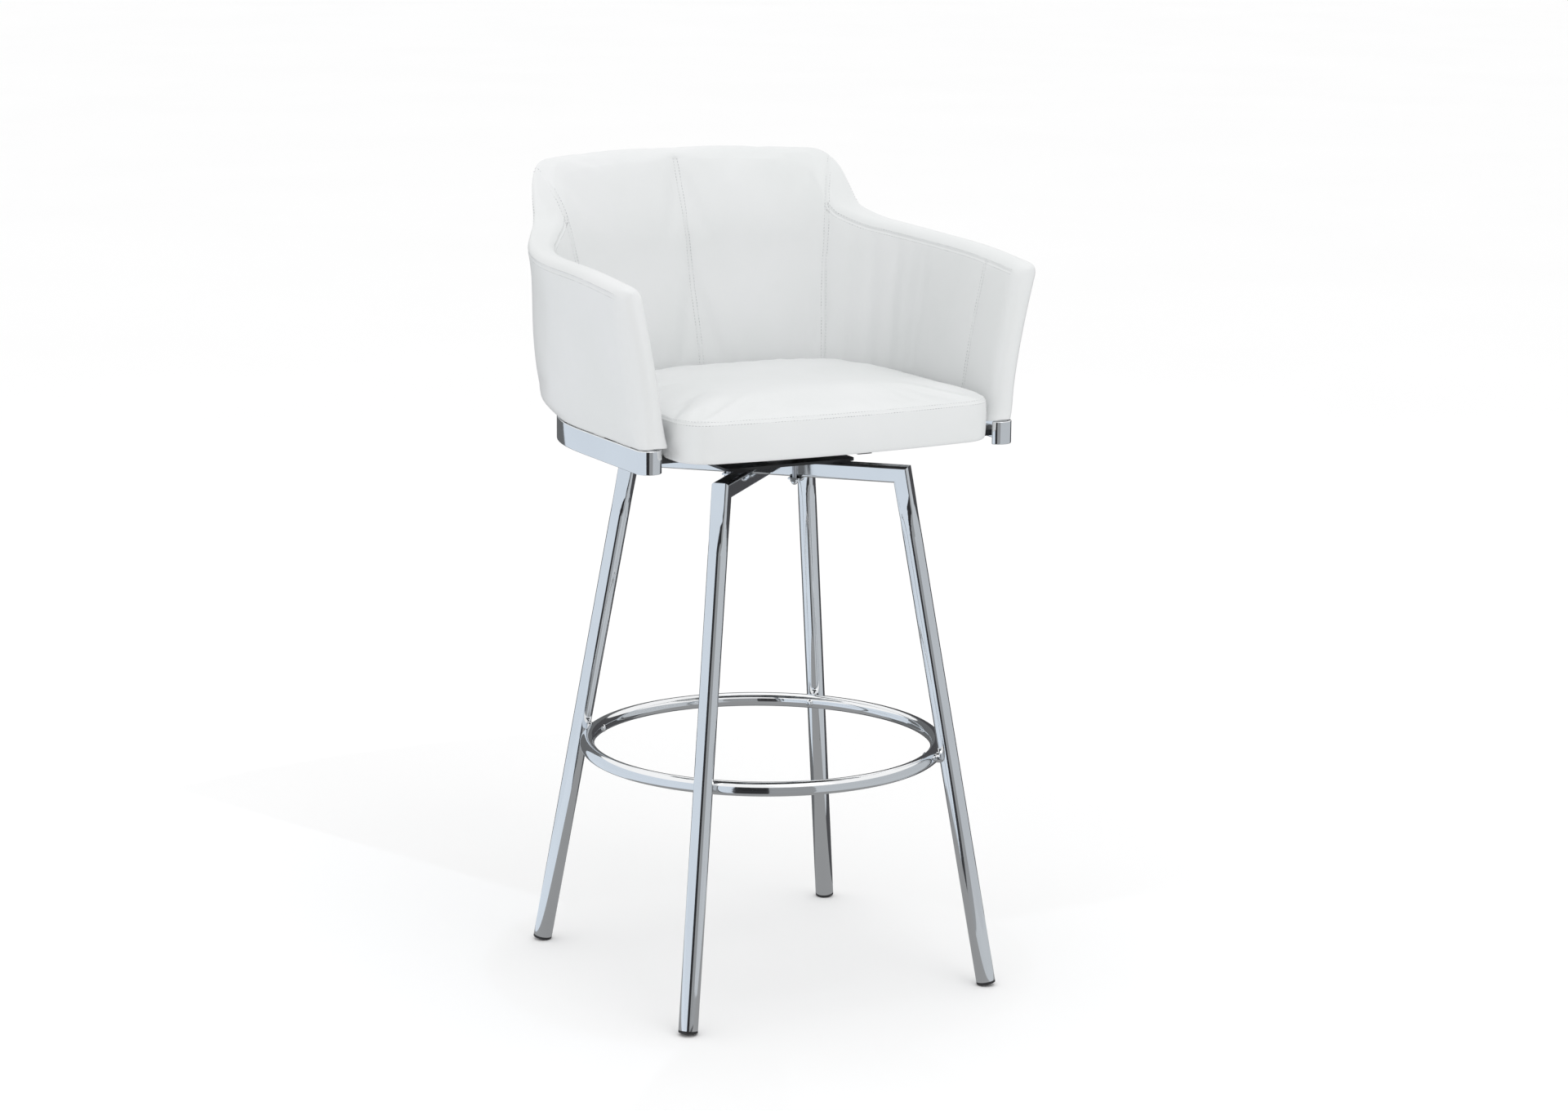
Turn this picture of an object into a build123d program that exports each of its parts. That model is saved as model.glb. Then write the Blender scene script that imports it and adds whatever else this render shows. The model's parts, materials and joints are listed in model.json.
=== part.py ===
from build123d import *
import math
import os

# Swivel bar stool: a barrel-backed seat turning on a ball-race swivel, carried by
# four splayed tube legs with a round footrest ring. Everything is built about the
# swivel axis (x = y = 0, floor at z = 0, sitter faces -Y), then the whole stool is
# moved so that its box stands on the origin. Millimetres throughout.

# ---- driving dimensions -------------------------------------------------------
# base
foot_radius = 312.5        # swivel axis to each leg's axis, at the floor
leg_top_radius = 184.0     # swivel axis to each leg's axis, at the top of the base
base_height = 690.0        # floor to the top of the cross tubes
tube_od = 25.0             # legs, where they are round
tube_wall = 1.5
square_od = 22.0           # across the flats of the cross tubes and of the legs' square tops
square_corner = 4.0        # outside corner radius of the square tube
leg_blend = 60.0           # length over which a leg turns from square to round
tube_end_gap = 6.0         # end of each leg tube above the floor, along the leg
glide_dome_radius = 30.0
glide_plug_depth = 16.0
glide_flat = 0.4           # how much of the glide's dome the floor plane takes off
press_gap = 0.1            # clearance of pieces pushed or dropped into each other

# footrest
ring_height = 304.7
ring_leg_gap = 1.04        # outside of the ring to the inner face of each leg
ring_od = 19.0
ring_wall = 1.5
boss_diameter = 14.0
ring_screw_d = 6.0
ring_screw_head_d = 10.5
ring_screw_head_h = 3.4
rivet_nut_d = 9.0
rivet_nut_length = 15.0
rivet_nut_set = 2.8        # start of each rivet nut outside the ring, within the leg's wall

# swivel
swivel_plate_x = 189.0
swivel_plate_y = 150.0
swivel_plate_t = 3.5
swivel_plate_corner = 8.0
race_radius = 31.0         # pitch circle of the balls
race_width = 14.0
race_height = 6.5
race_gap = 1.75            # each race to the middle plane of the balls
ball_d = 9.0
ball_count = 16
ball_gap = 0.05            # between each ball and its grooves
cage_t = 2.0
cage_width = 16.0
pivot_d = 16.0
pivot_gap = 0.05           # running clearance of the pivot in the upper plate
clamp_race_gap = 3.8       # clamp bolt heads: clear of the lower race
clamp_bolt_d = 6.0
clamp_bolt_side = 0.6      # clamp bolts: clear of the tube's side
clamp_strip_t = 2.0
clamp_strip_along = 16.0   # size of each clamp strip along the tube
clamp_strip_edge = 3.0     # clamp bolts: in from the ends of each clamp strip

# seat frame
rail_spacing = 130.0       # centre to centre of the two fore-and-aft rails
rail_width = 20.0
rail_height = 10.0
rail_bolt_edge = 15.0      # rail bolts: in from the front and rear of the swivel plate
bar_height = 8.0
bar_width = 30.0
front_bar_y = -135.0
rear_bar_inset = 122.0     # middle of the rear bar in front of the band's back
bar_bolt_inset = 12.1      # seat bolts: in from the side of the board at the rear bar
board_t = 12.0
board_inset = 9.0          # edge of the board inside the cushion's outline
insert_d = 9.0             # threaded inserts in the board
bolt_head_d = 11.0
bolt_head_h = 3.3
nut_flats = 10.0

# chrome band under the shell
band_half_width = 270.0    # swivel axis to the outer face of the band's sides
band_rear = 217.0          # swivel axis to the outer face of the band's back
band_exponent = 2.67
band_t = 5.0
band_height = 30.0
hook_radius = 17.0         # outside radius of the returns at the front ends
hook_sweep = 150.0         # degrees turned by each return
hook_centre_y = -168.0
side_straight_y = -20.0    # the sides run straight in front of this line
band_above_bars = 15.5     # top edge of the band above the cross bars

# brackets that hold the shell
bracket_t = 3.0
bracket_width = 24.0
bracket_reach = 18.0       # tab length in from the band
bracket_drop = 16.0        # ear length down the band
bracket_screw_d = 5.0
bracket_screw_length = 14.0
bracket_screw_in = 10.0    # screws: in from the inner face of the band
bracket_front_y = -80.0
bracket_middle_y = 40.0

# cushion
cushion_front = -232.0
cushion_side_gap = 2.0     # cushion to the inside of the shell, at the shell's lower edge
cushion_back_gap = 4.0
cushion_exponent = 2.5
cushion_corner = 48.0
cushion_bow = 10.0         # how much the front edge bows forward
cushion_crown = 71.0       # board's underside to the top of the crown
cushion_skirt = 2.0        # how far the cover hangs below the board's underside
cushion_dome_radius = 2200.0

# shell
shell_front = -186.0
shell_gap = 0.5            # band to shell
rim_inset = 12.0           # outline of the band to the rim board's outer edge
rim_width = 19.0
rim_t = 15.0
# height above the band; sides and back, out from the band's outline; outer exponent;
# wall at the sides and at the back; inner exponent
shell_levels = [
    (0.5, -2.0, -1.0, 2.67, 40.0, 38.0, 2.50),
    (18.0, 1.0, 16.0, 3.70, 39.0, 55.0, 2.52),
    (43.0, 3.5, 24.0, 3.70, 37.0, 58.0, 2.55),
    (203.0, 34.0, 46.0, 2.50, 37.0, 36.0, 2.62),
    (333.0, 67.0, 94.0, 2.25, 42.0, 36.0, 2.70),
]
# side view of the shell's top edge: y from the band's back, height above the band
shell_arm_edge = [(-282.0, 213.5), (-167.0, 218.0), (-77.0, 227.0), (-29.0, 245.0)]
shell_arm_front = 203.0    # height of the arm's front end above the band
shell_shoulder = [(-11.0, 272.0), (5.0, 297.0), (29.0, 316.5), (113.0, 323.5)]

# ---- sizes that follow ----------------------------------------------------------
leg_slope = (foot_radius - leg_top_radius) / base_height
leg_tilt = math.degrees(math.atan(leg_slope))
arm_centre_z = base_height - square_od / 2
corner_radius_at_arm = foot_radius - leg_slope * arm_centre_z
leg_length = arm_centre_z / math.cos(math.radians(leg_tilt))

lower_plate_top = base_height + swivel_plate_t
ball_z = lower_plate_top + race_height + race_gap
upper_plate_bottom = 2 * ball_z - lower_plate_top
upper_plate_top = upper_plate_bottom + swivel_plate_t
rail_top = upper_plate_top + rail_height
bar_top = rail_top + bar_height
band_top = bar_top + band_above_bars
band_bottom = band_top - band_height
rim_bottom = band_top + 2 * shell_gap

leg_face_at_ring = foot_radius - leg_slope * ring_height - tube_od / 2 / math.cos(math.radians(leg_tilt))
ring_radius = leg_face_at_ring - ring_leg_gap - ring_od / 2

rear_bar_y = band_rear - rear_bar_inset
cushion_half_width = band_half_width + shell_levels[0][1] - shell_levels[0][4] - cushion_side_gap
cushion_rear = band_rear + shell_levels[0][2] - shell_levels[0][5] - cushion_back_gap

clamp_side = square_od / 2 + clamp_bolt_d / 2 + clamp_bolt_side
clamp_reach = race_radius + race_width / 2 + clamp_race_gap + bolt_head_d / 2
clamp_along = math.sqrt(clamp_reach ** 2 - clamp_side ** 2)

LEG_ANGLES = {"front_left": 225.0, "front_right": 315.0, "rear_right": 45.0, "rear_left": 135.0}


# ---- helpers --------------------------------------------------------------------
def half_width_at(y, half_width, rear, exponent):
    """Half the width of a barrel outline at a given distance behind the swivel axis."""
    if y <= side_straight_y:
        return half_width
    share = (y - side_straight_y) / (rear - side_straight_y)
    return half_width * (1 - share ** exponent) ** (1 / exponent)


def round_bar(diameter, length, z=0.0):
    """A plain cylinder standing on height z."""
    return Pos(0, 0, z + length / 2) * Cylinder(diameter / 2, length)


def turned(part, degrees):
    return Rot(0, 0, degrees) * part


def group(parts):
    """Separate like solids kept together in one node."""
    return Compound([solid for part in parts for solid in part.solids()])


def barrel_outline(half_width, rear, exponent, z, front=None, inset=0.0):
    """Closed plan outline: straight sides in front, a superelliptic back behind."""
    half_width = half_width - inset
    depth = rear - inset - side_straight_y
    points = []
    for step in range(0, 13):
        angle = math.radians(15.0 * step)
        reach = abs(math.cos(angle)) ** (2 / exponent)
        x = math.copysign(half_width * reach, math.cos(angle))
        y = side_straight_y + depth * math.sin(angle) ** (2 / exponent)
        points.append((x, y, z))
    points[0] = (half_width, side_straight_y, z)
    points[-1] = (-half_width, side_straight_y, z)
    back = Spline(*points, tangents=[(0, 1, 0), (0, -1, 0)])
    if front is None:
        return back
    sides = Polyline(
        (-half_width, side_straight_y, z),
        (-half_width, front, z),
        (half_width, front, z),
        (half_width, side_straight_y, z),
    )
    return make_face(back.edges() + sides.edges())


def hex_socket(across_flats, depth, z_top):
    """The cutter for a hexagon socket that opens upwards at z_top."""
    hexagon = RegularPolygon(across_flats / 2, 6, major_radius=False)
    return Pos(0, 0, z_top - depth) * extrude(hexagon, depth)


def button_screw(diameter, length, head_d, head_h):
    """Button-head socket screw: head above z = 0, shank below it."""
    dome_r = (head_d ** 2 / 4 + head_h ** 2) / (2 * head_h)
    head = Pos(0, 0, head_h - dome_r) * Sphere(dome_r)
    head &= round_bar(head_d, head_h)
    shank = round_bar(diameter, length, -length)
    return head + shank - hex_socket(diameter * 0.66, head_h * 0.6, head_h)


def hex_bolt(diameter, length, head_af, head_h):
    """Hexagon-head bolt: head above z = 0, shank below it."""
    head = extrude(RegularPolygon(head_af / 2, 6, major_radius=False), head_h)
    return head + round_bar(diameter, length, -length)


def hex_nut(bore, across_flats, height):
    nut = extrude(RegularPolygon(across_flats / 2, 6, major_radius=False), height)
    return nut - round_bar(bore, height)


# ---- base -------------------------------------------------------------------------
def leg_axis_place():
    """Frame of the leg at +X: origin where its axis meets the floor, +Z up the leg."""
    return Pos(foot_radius, 0, 0) * Rot(0, -leg_tilt, 0)


def mitre_half_space(keep_leg):
    """Block on one side of the mitre between the cross tube and the leg at +X."""
    tilt = math.radians(leg_tilt)
    normal = Vector(1 + math.sin(tilt), 0, -math.cos(tilt)).normalized()
    plane = Plane(origin=(corner_radius_at_arm, 0, arm_centre_z), x_dir=(0, 1, 0), z_dir=normal)
    side = 1 if keep_leg else -1
    return plane * Pos(0, 0, side * foot_radius) * Box(4 * tube_od, 4 * base_height, 2 * foot_radius)


def square_section(inset):
    """Section of the square tube, a given distance inside its outer face."""
    size = square_od - 2 * inset
    return RectangleRounded(size, size, square_corner - inset)


def leg_body(inset):
    """Outside (inset = 0) or bore of the leg at +X, before its ends are cut."""
    diameter = tube_od - 2 * inset
    blend_from = leg_length - leg_blend - square_od
    square = square_section(inset)
    head = Pos(0, 0, blend_from + leg_blend) * extrude(square, 3 * square_od)
    blend = loft([Pos(0, 0, blend_from) * Circle(diameter / 2), Pos(0, 0, blend_from + leg_blend) * square])
    pipe = round_bar(diameter, blend_from - tube_end_gap, tube_end_gap)
    return pipe + blend + head


def leg():
    tube = leg_axis_place() * (leg_body(0.0) - leg_body(tube_wall))
    tube &= mitre_half_space(True)
    return tube - rivet_nut_hole()


def rivet_nut_hole():
    reach = ring_radius + ring_od / 2
    hole = Rot(0, 90, 0) * round_bar(rivet_nut_d, tube_od, 0)
    return Pos(reach - tube_wall, 0, ring_height) * hole


def square_tube(length):
    """Square tube along +X from x = 0, centred on the cross tubes' height."""
    tube = extrude(square_section(0.0) - square_section(tube_wall), length)
    return Pos(0, 0, arm_centre_z) * Rot(0, 90, 0) * tube


def cross_tube_long():
    reach = foot_radius
    tube = Pos(-reach, 0, 0) * square_tube(2 * reach)
    tube &= mitre_half_space(False)
    tube &= turned(mitre_half_space(False), 180)
    return turned(tube, LEG_ANGLES["front_right"])


def cross_tube_short(angle):
    tube = square_tube(foot_radius) & mitre_half_space(False)
    tube &= Pos(foot_radius + square_od / 2, 0, arm_centre_z) * Box(2 * foot_radius, 2 * tube_od, 2 * tube_od)
    return turned(tube, angle)


def glide():
    """Domed plastic plug in the end of the leg at +X, with a small flat on the floor."""
    centre = (glide_dome_radius - glide_flat) / math.cos(math.radians(leg_tilt))
    cap = Pos(0, 0, centre) * Sphere(glide_dome_radius)
    cap &= round_bar(tube_od, tube_end_gap)
    plug_d = tube_od - 2 * tube_wall - 2 * press_gap
    plug = round_bar(plug_d, glide_plug_depth, tube_end_gap)
    plug -= round_bar(plug_d - 4.0, glide_plug_depth, tube_end_gap + 2.0)
    whole = leg_axis_place() * (cap + plug)
    return whole - Pos(foot_radius, 0, -tube_od) * Box(4 * tube_od, 4 * tube_od, 2 * tube_od)


# ---- footrest -----------------------------------------------------------------------
def around_ring(part):
    """Four copies of a piece that is made at the leg on +X."""
    return group([turned(part, angle) for angle in LEG_ANGLES.values()])


def footrest_ring():
    """Two half rings of tube, drilled through at the legs and joined end to end."""
    section = Circle(ring_od / 2) - Circle(ring_od / 2 - ring_wall)
    half = revolve(Plane.XZ * Pos(ring_radius, ring_height) * section, Axis.Z, 180)
    hole = Pos(ring_radius - ring_od, 0, ring_height) * Rot(0, 90, 0) * round_bar(ring_screw_d, 2 * ring_od)
    for name in ("rear_right", "rear_left"):
        half -= turned(hole, LEG_ANGLES[name])
    return half + turned(half, 180)


def ring_boss():
    """Saddle between the ring and the leg, shaped to both."""
    boss = Pos(ring_radius, 0, ring_height) * Rot(0, 90, 0) * round_bar(boss_diameter, tube_od)
    boss -= Pos(0, 0, ring_height) * Torus(ring_radius, ring_od / 2)
    boss -= leg_axis_place() * round_bar(tube_od, base_height)
    boss -= Pos(ring_radius, 0, ring_height) * Rot(0, 90, 0) * round_bar(ring_screw_d, 2 * tube_od)
    return boss.solids().sort_by(Axis.X)[0]


def ring_screw():
    screw = button_screw(ring_screw_d - 2 * press_gap, 2 * ring_od, ring_screw_head_d, ring_screw_head_h)
    return Pos(ring_radius - ring_od / 2 - press_gap, 0, ring_height) * Rot(0, -90, 0) * screw


def rivet_nut():
    start = ring_radius + ring_od / 2 + rivet_nut_set
    sleeve = round_bar(rivet_nut_d - 2 * press_gap, rivet_nut_length)
    sleeve -= round_bar(ring_screw_d, rivet_nut_length)
    return Pos(start, 0, ring_height) * Rot(0, 90, 0) * sleeve


# ---- swivel ---------------------------------------------------------------------------
def clamp_points():
    """The four clamp bolts stand in pairs on both sides of the long cross tube."""
    points = []
    for along in (-clamp_along, clamp_along):
        for across in (-clamp_side, clamp_side):
            points.append(Rot(0, 0, LEG_ANGLES["front_right"]) * Pos(along, across, 0))
    return points


def swivel_lower_plate():
    outline = RectangleRounded(swivel_plate_x, swivel_plate_y, swivel_plate_corner)
    plate = Pos(0, 0, base_height) * extrude(outline, swivel_plate_t)
    plate -= round_bar(pivot_d, 4 * swivel_plate_t, base_height - swivel_plate_t)
    for place in clamp_points():
        plate -= place * round_bar(clamp_bolt_d, 4 * swivel_plate_t, base_height - swivel_plate_t)
    return plate


def ball_race(z):
    """Grooved ring standing on height z, groove upwards."""
    ring = round_bar(2 * race_radius + race_width, race_height, z)
    ring -= round_bar(2 * race_radius - race_width, race_height, z)
    return ring - Pos(0, 0, ball_z) * Torus(race_radius, ball_d / 2 + ball_gap)


def lower_race():
    return ball_race(lower_plate_top)


def upper_race():
    return mirror(ball_race(lower_plate_top), Plane.XY.offset(ball_z))


def ball_place(index):
    return Rot(0, 0, 360.0 / ball_count * index) * Pos(race_radius, 0, ball_z)


def balls():
    return group([ball_place(i) * Sphere(ball_d / 2) for i in range(ball_count)])


def ball_cage():
    cage = round_bar(2 * race_radius + cage_width, cage_t, ball_z - cage_t / 2)
    cage -= round_bar(2 * race_radius - cage_width, cage_t, ball_z - cage_t / 2)
    for index in range(ball_count):
        cage -= ball_place(index) * Cylinder(ball_d / 2 + press_gap, 2 * cage_t)
    return cage


def swivel_upper_plate():
    plate_x = rail_spacing + 2 * rail_width
    outline = RectangleRounded(plate_x, swivel_plate_y, swivel_plate_corner)
    plate = Pos(0, 0, upper_plate_bottom) * extrude(outline, swivel_plate_t)
    plate -= round_bar(pivot_d + 2 * pivot_gap, 4 * swivel_plate_t, upper_plate_bottom - swivel_plate_t)
    for place in rail_bolt_points():
        plate -= place * round_bar(clamp_bolt_d, 4 * swivel_plate_t, upper_plate_bottom - swivel_plate_t)
    return plate


def swivel_pivot():
    """Hollow rivet through both plates: flanged under the lower, washered over the upper."""
    top = upper_plate_top + 1.2
    stem = round_bar(pivot_d, top + 3.0 - base_height, base_height)
    head = round_bar(pivot_d + 12.0, 3.0, top)
    return stem + head - round_bar(pivot_d - 6.0, 60.0, base_height - 10.0)


def pivot_washer():
    washer = round_bar(pivot_d + 16.0, 1.0, upper_plate_top + 0.1)
    return washer - round_bar(pivot_d + 2 * press_gap, 1.0, upper_plate_top + 0.1)


def clamp_strips():
    """Short strips across the underside of the long cross tube, one for each pair of clamp bolts."""
    width = 2 * clamp_side + clamp_bolt_d + 2 * clamp_strip_edge
    plate = extrude(RectangleRounded(clamp_strip_along, width, clamp_strip_edge), clamp_strip_t)
    strips = []
    for along in (-clamp_along, clamp_along):
        strip = Pos(along, 0, base_height - square_od - clamp_strip_t) * plate
        strip = turned(strip, LEG_ANGLES["front_right"])
        for place in clamp_points():
            strip -= place * round_bar(clamp_bolt_d, 2 * square_od, base_height - 2 * square_od)
        strips.append(strip)
    return group(strips)


def clamp_bolts():
    length = swivel_plate_t + square_od + clamp_strip_t + 5.0
    bolt = button_screw(clamp_bolt_d - 2 * press_gap, length, bolt_head_d, bolt_head_h)
    bolt = Pos(0, 0, lower_plate_top) * bolt
    return group([place * bolt for place in clamp_points()])


def dome_nuts():
    top = base_height - square_od - clamp_strip_t
    nut = extrude(RegularPolygon(nut_flats / 2, 6, major_radius=False), 3.2)
    nut += Pos(0, 0, 3.2) * (Sphere(4.4) - Pos(0, 0, -5) * Box(10, 10, 10))
    nut -= round_bar(clamp_bolt_d, 6.2)
    nut = Pos(0, 0, top) * Rot(180, 0, 0) * nut
    return group([place * nut for place in clamp_points()])


# ---- seat frame -----------------------------------------------------------------------
def rail_bolt_points():
    points = []
    for x in (-rail_spacing / 2, rail_spacing / 2):
        for y in (rail_bolt_edge - swivel_plate_y / 2, swivel_plate_y / 2 - rail_bolt_edge):
            points.append(Pos(x, y, 0))
    return points


def bar_bolt_points():
    board_half = half_width_at(
        rear_bar_y, cushion_half_width - board_inset, cushion_rear - board_inset, cushion_exponent
    )
    reach = board_half - bar_bolt_inset
    points = []
    for x in (-reach, reach):
        for y in (front_bar_y, rear_bar_y):
            points.append(Pos(x, y, 0))
    return points


def seat_rail(side):
    """Fore-and-aft bar between the upper swivel plate and the cross bars."""
    front = front_bar_y - bar_width / 2
    rear = rear_bar_y + bar_width / 2
    rail = Pos(side * rail_spacing / 2, (front + rear) / 2, upper_plate_top + rail_height / 2)
    rail = rail * Box(rail_width, rear - front, rail_height)
    for place in rail_bolt_points():
        rail -= place * round_bar(clamp_bolt_d, 4 * rail_height, upper_plate_top - rail_height)
    return rail


def band_inner_half_width(y):
    """Inside of the band at a given distance behind the swivel axis."""
    return half_width_at(y, band_half_width - band_t, band_rear - band_t, band_exponent)


def cross_bar(y):
    """Flat bar across the seat, welded to the inside of the band at both ends."""
    bar = Pos(0, y, bar_top - bar_height / 2) * Box(2 * band_half_width, bar_width, bar_height)
    inside = band_face_inside()
    bar &= Pos(0, 0, rail_top - bar_height) * extrude(inside, 4 * bar_height)
    for place in bar_bolt_points():
        bar -= place * round_bar(clamp_bolt_d, 4 * bar_height, rail_top - bar_height)
    return bar


def rail_bolts():
    length = swivel_plate_t + rail_height + 5.0
    bolt = Rot(180, 0, 0) * hex_bolt(clamp_bolt_d - 2 * press_gap, length, nut_flats, 3.0)
    bolt = Pos(0, 0, upper_plate_bottom) * bolt
    return group([place * bolt for place in rail_bolt_points()])


def rail_nuts():
    nut = Pos(0, 0, rail_top) * hex_nut(clamp_bolt_d, nut_flats, 4.5)
    return group([place * nut for place in rail_bolt_points()])


def seat_bolts():
    length = bar_height + board_t - 1.0
    bolt = Pos(0, 0, bar_top - bar_height) * Rot(180, 0, 0)
    bolt = bolt * button_screw(clamp_bolt_d - 2 * press_gap, length, bolt_head_d, bolt_head_h)
    return group([place * bolt for place in bar_bolt_points()])


def board_inserts():
    insert = round_bar(insert_d, board_t - 2.0, bar_top + 1.0)
    insert -= round_bar(clamp_bolt_d, board_t - 2.0, bar_top + 1.0)
    return group([place * insert for place in bar_bolt_points()])


# ---- chrome band ------------------------------------------------------------------------
def hook_end(side, radius):
    """Point and centre of the return at one front end, at a given radius."""
    centre_x = band_half_width - hook_radius
    angle = math.radians(hook_sweep)
    x = centre_x + radius * math.cos(angle)
    y = hook_centre_y - radius * math.sin(angle)
    return side * x, y


def band_path():
    """Middle line of the band, from one front return round the back to the other."""
    middle = hook_radius - band_t / 2
    half_width = band_half_width - band_t / 2
    centre_x = band_half_width - hook_radius
    back = barrel_outline(band_half_width, band_rear, band_exponent, 0, inset=band_t / 2)
    mid = math.radians(hook_sweep / 2)
    pieces = [back]
    for side in (-1, 1):
        top = (side * half_width, hook_centre_y)
        on_arc = (side * (centre_x + middle * math.cos(mid)), hook_centre_y - middle * math.sin(mid))
        pieces.append(Line((side * half_width, side_straight_y), top))
        pieces.append(ThreePointArc(top, on_arc, hook_end(side, middle)))
    return Wire([piece.edge() for piece in pieces])


def band():
    path = band_path()
    start = path.position_at(0)
    tangent = path.tangent_at(0)
    plane = Plane(origin=start, x_dir=Vector(0, 0, 1).cross(tangent), z_dir=tangent)
    strip = sweep(plane * Rectangle(band_t, band_height), path=path)
    return Pos(0, 0, band_bottom + band_height / 2) * strip


def band_face_inside():
    """Plan area inside the band, straight across its front."""
    return barrel_outline(band_half_width, band_rear, band_exponent, 0, front=hook_centre_y, inset=band_t)


def bracket_places():
    """Five brackets round the inside of the band: two on each side and one behind."""
    places = []
    for side in (-1, 1):
        for y in (bracket_front_y, bracket_middle_y):
            x = side * band_inner_half_width(y)
            places.append(Pos(x, y, band_top + shell_gap) * Rot(0, 0, 180 if side > 0 else 0))
    places.append(Pos(0, band_rear - band_t, band_top + shell_gap) * Rot(0, 0, -90))
    return places


def bracket_screw_hole():
    return Pos(bracket_screw_in, 0, 0) * Cylinder(bracket_screw_d / 2 + press_gap, 3 * bracket_screw_length)


def shell_brackets():
    """L brackets welded inside the band, their tabs screwed up into the shell's rim."""
    overlap = 2.0
    tab = Pos((bracket_reach - overlap) / 2, 0, -bracket_t / 2)
    tab = tab * Box(bracket_reach + overlap, bracket_width, bracket_t)
    ear = Pos((bracket_t - overlap) / 2, 0, -bracket_t - bracket_drop / 2)
    ear = ear * Box(bracket_t + overlap, bracket_width, bracket_drop)
    bracket = tab + ear - bracket_screw_hole()
    inside = Pos(0, 0, band_bottom) * extrude(band_face_inside(), 2 * band_height)
    return group([((place * bracket) & inside).solids()[0] for place in bracket_places()])


def bracket_screw_holes():
    return group([place * bracket_screw_hole() for place in bracket_places()])


def bracket_screws():
    screw = Rot(180, 0, 0) * button_screw(bracket_screw_d, bracket_screw_length, 9.0, 2.8)
    return group([place * Pos(bracket_screw_in, 0, -bracket_t) * screw for place in bracket_places()])


# ---- soft parts ---------------------------------------------------------------------------
def cushion_outline(inset=0.0):
    half_width = cushion_half_width - inset
    front = cushion_front + cushion_bow + inset
    corner = cushion_corner - inset
    back = barrel_outline(half_width, cushion_rear - inset, cushion_exponent, 0)
    turn = corner * (1 - math.sqrt(0.5))
    edges = [back.edge()]
    for side in (-1, 1):
        edges.append(Line((side * half_width, side_straight_y), (side * half_width, front + corner)).edge())
        edges.append(
            ThreePointArc(
                (side * half_width, front + corner),
                (side * (half_width - turn), front + turn),
                (side * (half_width - corner), front),
            ).edge()
        )
    bow = ThreePointArc((corner - half_width, front), (0, front - cushion_bow), (half_width - corner, front))
    edges.append(bow.edge())
    return make_face(edges)


def seat_board():
    board = Pos(0, 0, bar_top) * extrude(cushion_outline(board_inset), board_t)
    for place in bar_bolt_points():
        board -= place * round_bar(insert_d + 2 * press_gap, 2 * board_t, bar_top - board_t / 2)
    return board


def seat_cushion():
    """Foam and cover over the board, hanging a little below it, notched over the cross bars."""
    underside = bar_top - cushion_skirt
    block = Pos(0, 0, underside) * extrude(cushion_outline(), cushion_crown + cushion_skirt)
    block &= Pos(0, 0, bar_top + cushion_crown - cushion_dome_radius) * Sphere(cushion_dome_radius)
    block -= Pos(0, 0, underside) * extrude(cushion_outline(board_inset), board_t + cushion_skirt)
    notch = Box(4 * cushion_half_width, bar_width + 2 * press_gap, 2 * cushion_skirt)
    for y in (front_bar_y, rear_bar_y):
        block -= Pos(0, y, underside) * notch
    return block


def shell_volume(inside):
    """The barrel's outer volume, or the space inside it."""
    sections = []
    for rise, side_out, back_out, exponent, side_wall, back_wall, inner_exponent in shell_levels:
        half_width = band_half_width + side_out
        rear = band_rear + back_out
        front = shell_front
        if inside:
            half_width -= side_wall
            rear -= back_wall
            front -= 2 * side_wall
            exponent = inner_exponent
        sections.append(barrel_outline(half_width, rear, exponent, band_top + rise, front=front))
    return loft(sections, ruled=True)


def above_top_edge():
    """Everything above the shell's top edge, as seen from the side."""
    edge = [(shell_front, band_top + shell_arm_front)]
    edge += [(band_rear + y, band_top + z) for y, z in shell_arm_edge]
    shoulder = [(band_rear + y, band_top + z) for y, z in shell_shoulder]
    high = shoulder[-1][1] + band_height
    far_front = shell_front - 2 * hook_radius
    arm = Spline(*edge)
    rise = Spline(edge[-1], *shoulder, tangents=[(0.75, 0.66), (1, 0)])
    rest = Polyline(
        shoulder[-1],
        (shoulder[-1][0], high),
        (far_front, high),
        (far_front, edge[0][1]),
        edge[0],
    )
    side_view = Plane.YZ * make_face(arm.edges() + rise.edges() + rest.edges())
    return extrude(side_view, 2 * band_half_width, both=True)


def shell_rim():
    """Board inside the shell's lower edge, which the band's brackets hold."""
    front = shell_front + rim_inset
    outer = barrel_outline(band_half_width, band_rear, band_exponent, 0, front=front, inset=rim_inset)
    inner_inset = rim_inset + rim_width
    inner = barrel_outline(
        band_half_width, band_rear, band_exponent, 0, front=front - rim_width, inset=inner_inset
    )
    rim = Pos(0, 0, rim_bottom) * extrude(outer - inner, rim_t)
    return rim - bracket_screw_holes()


def shell():
    body = shell_volume(False) - shell_volume(True)
    body -= above_top_edge()
    body -= shell_rim()
    return body - bracket_screw_holes()


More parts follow.
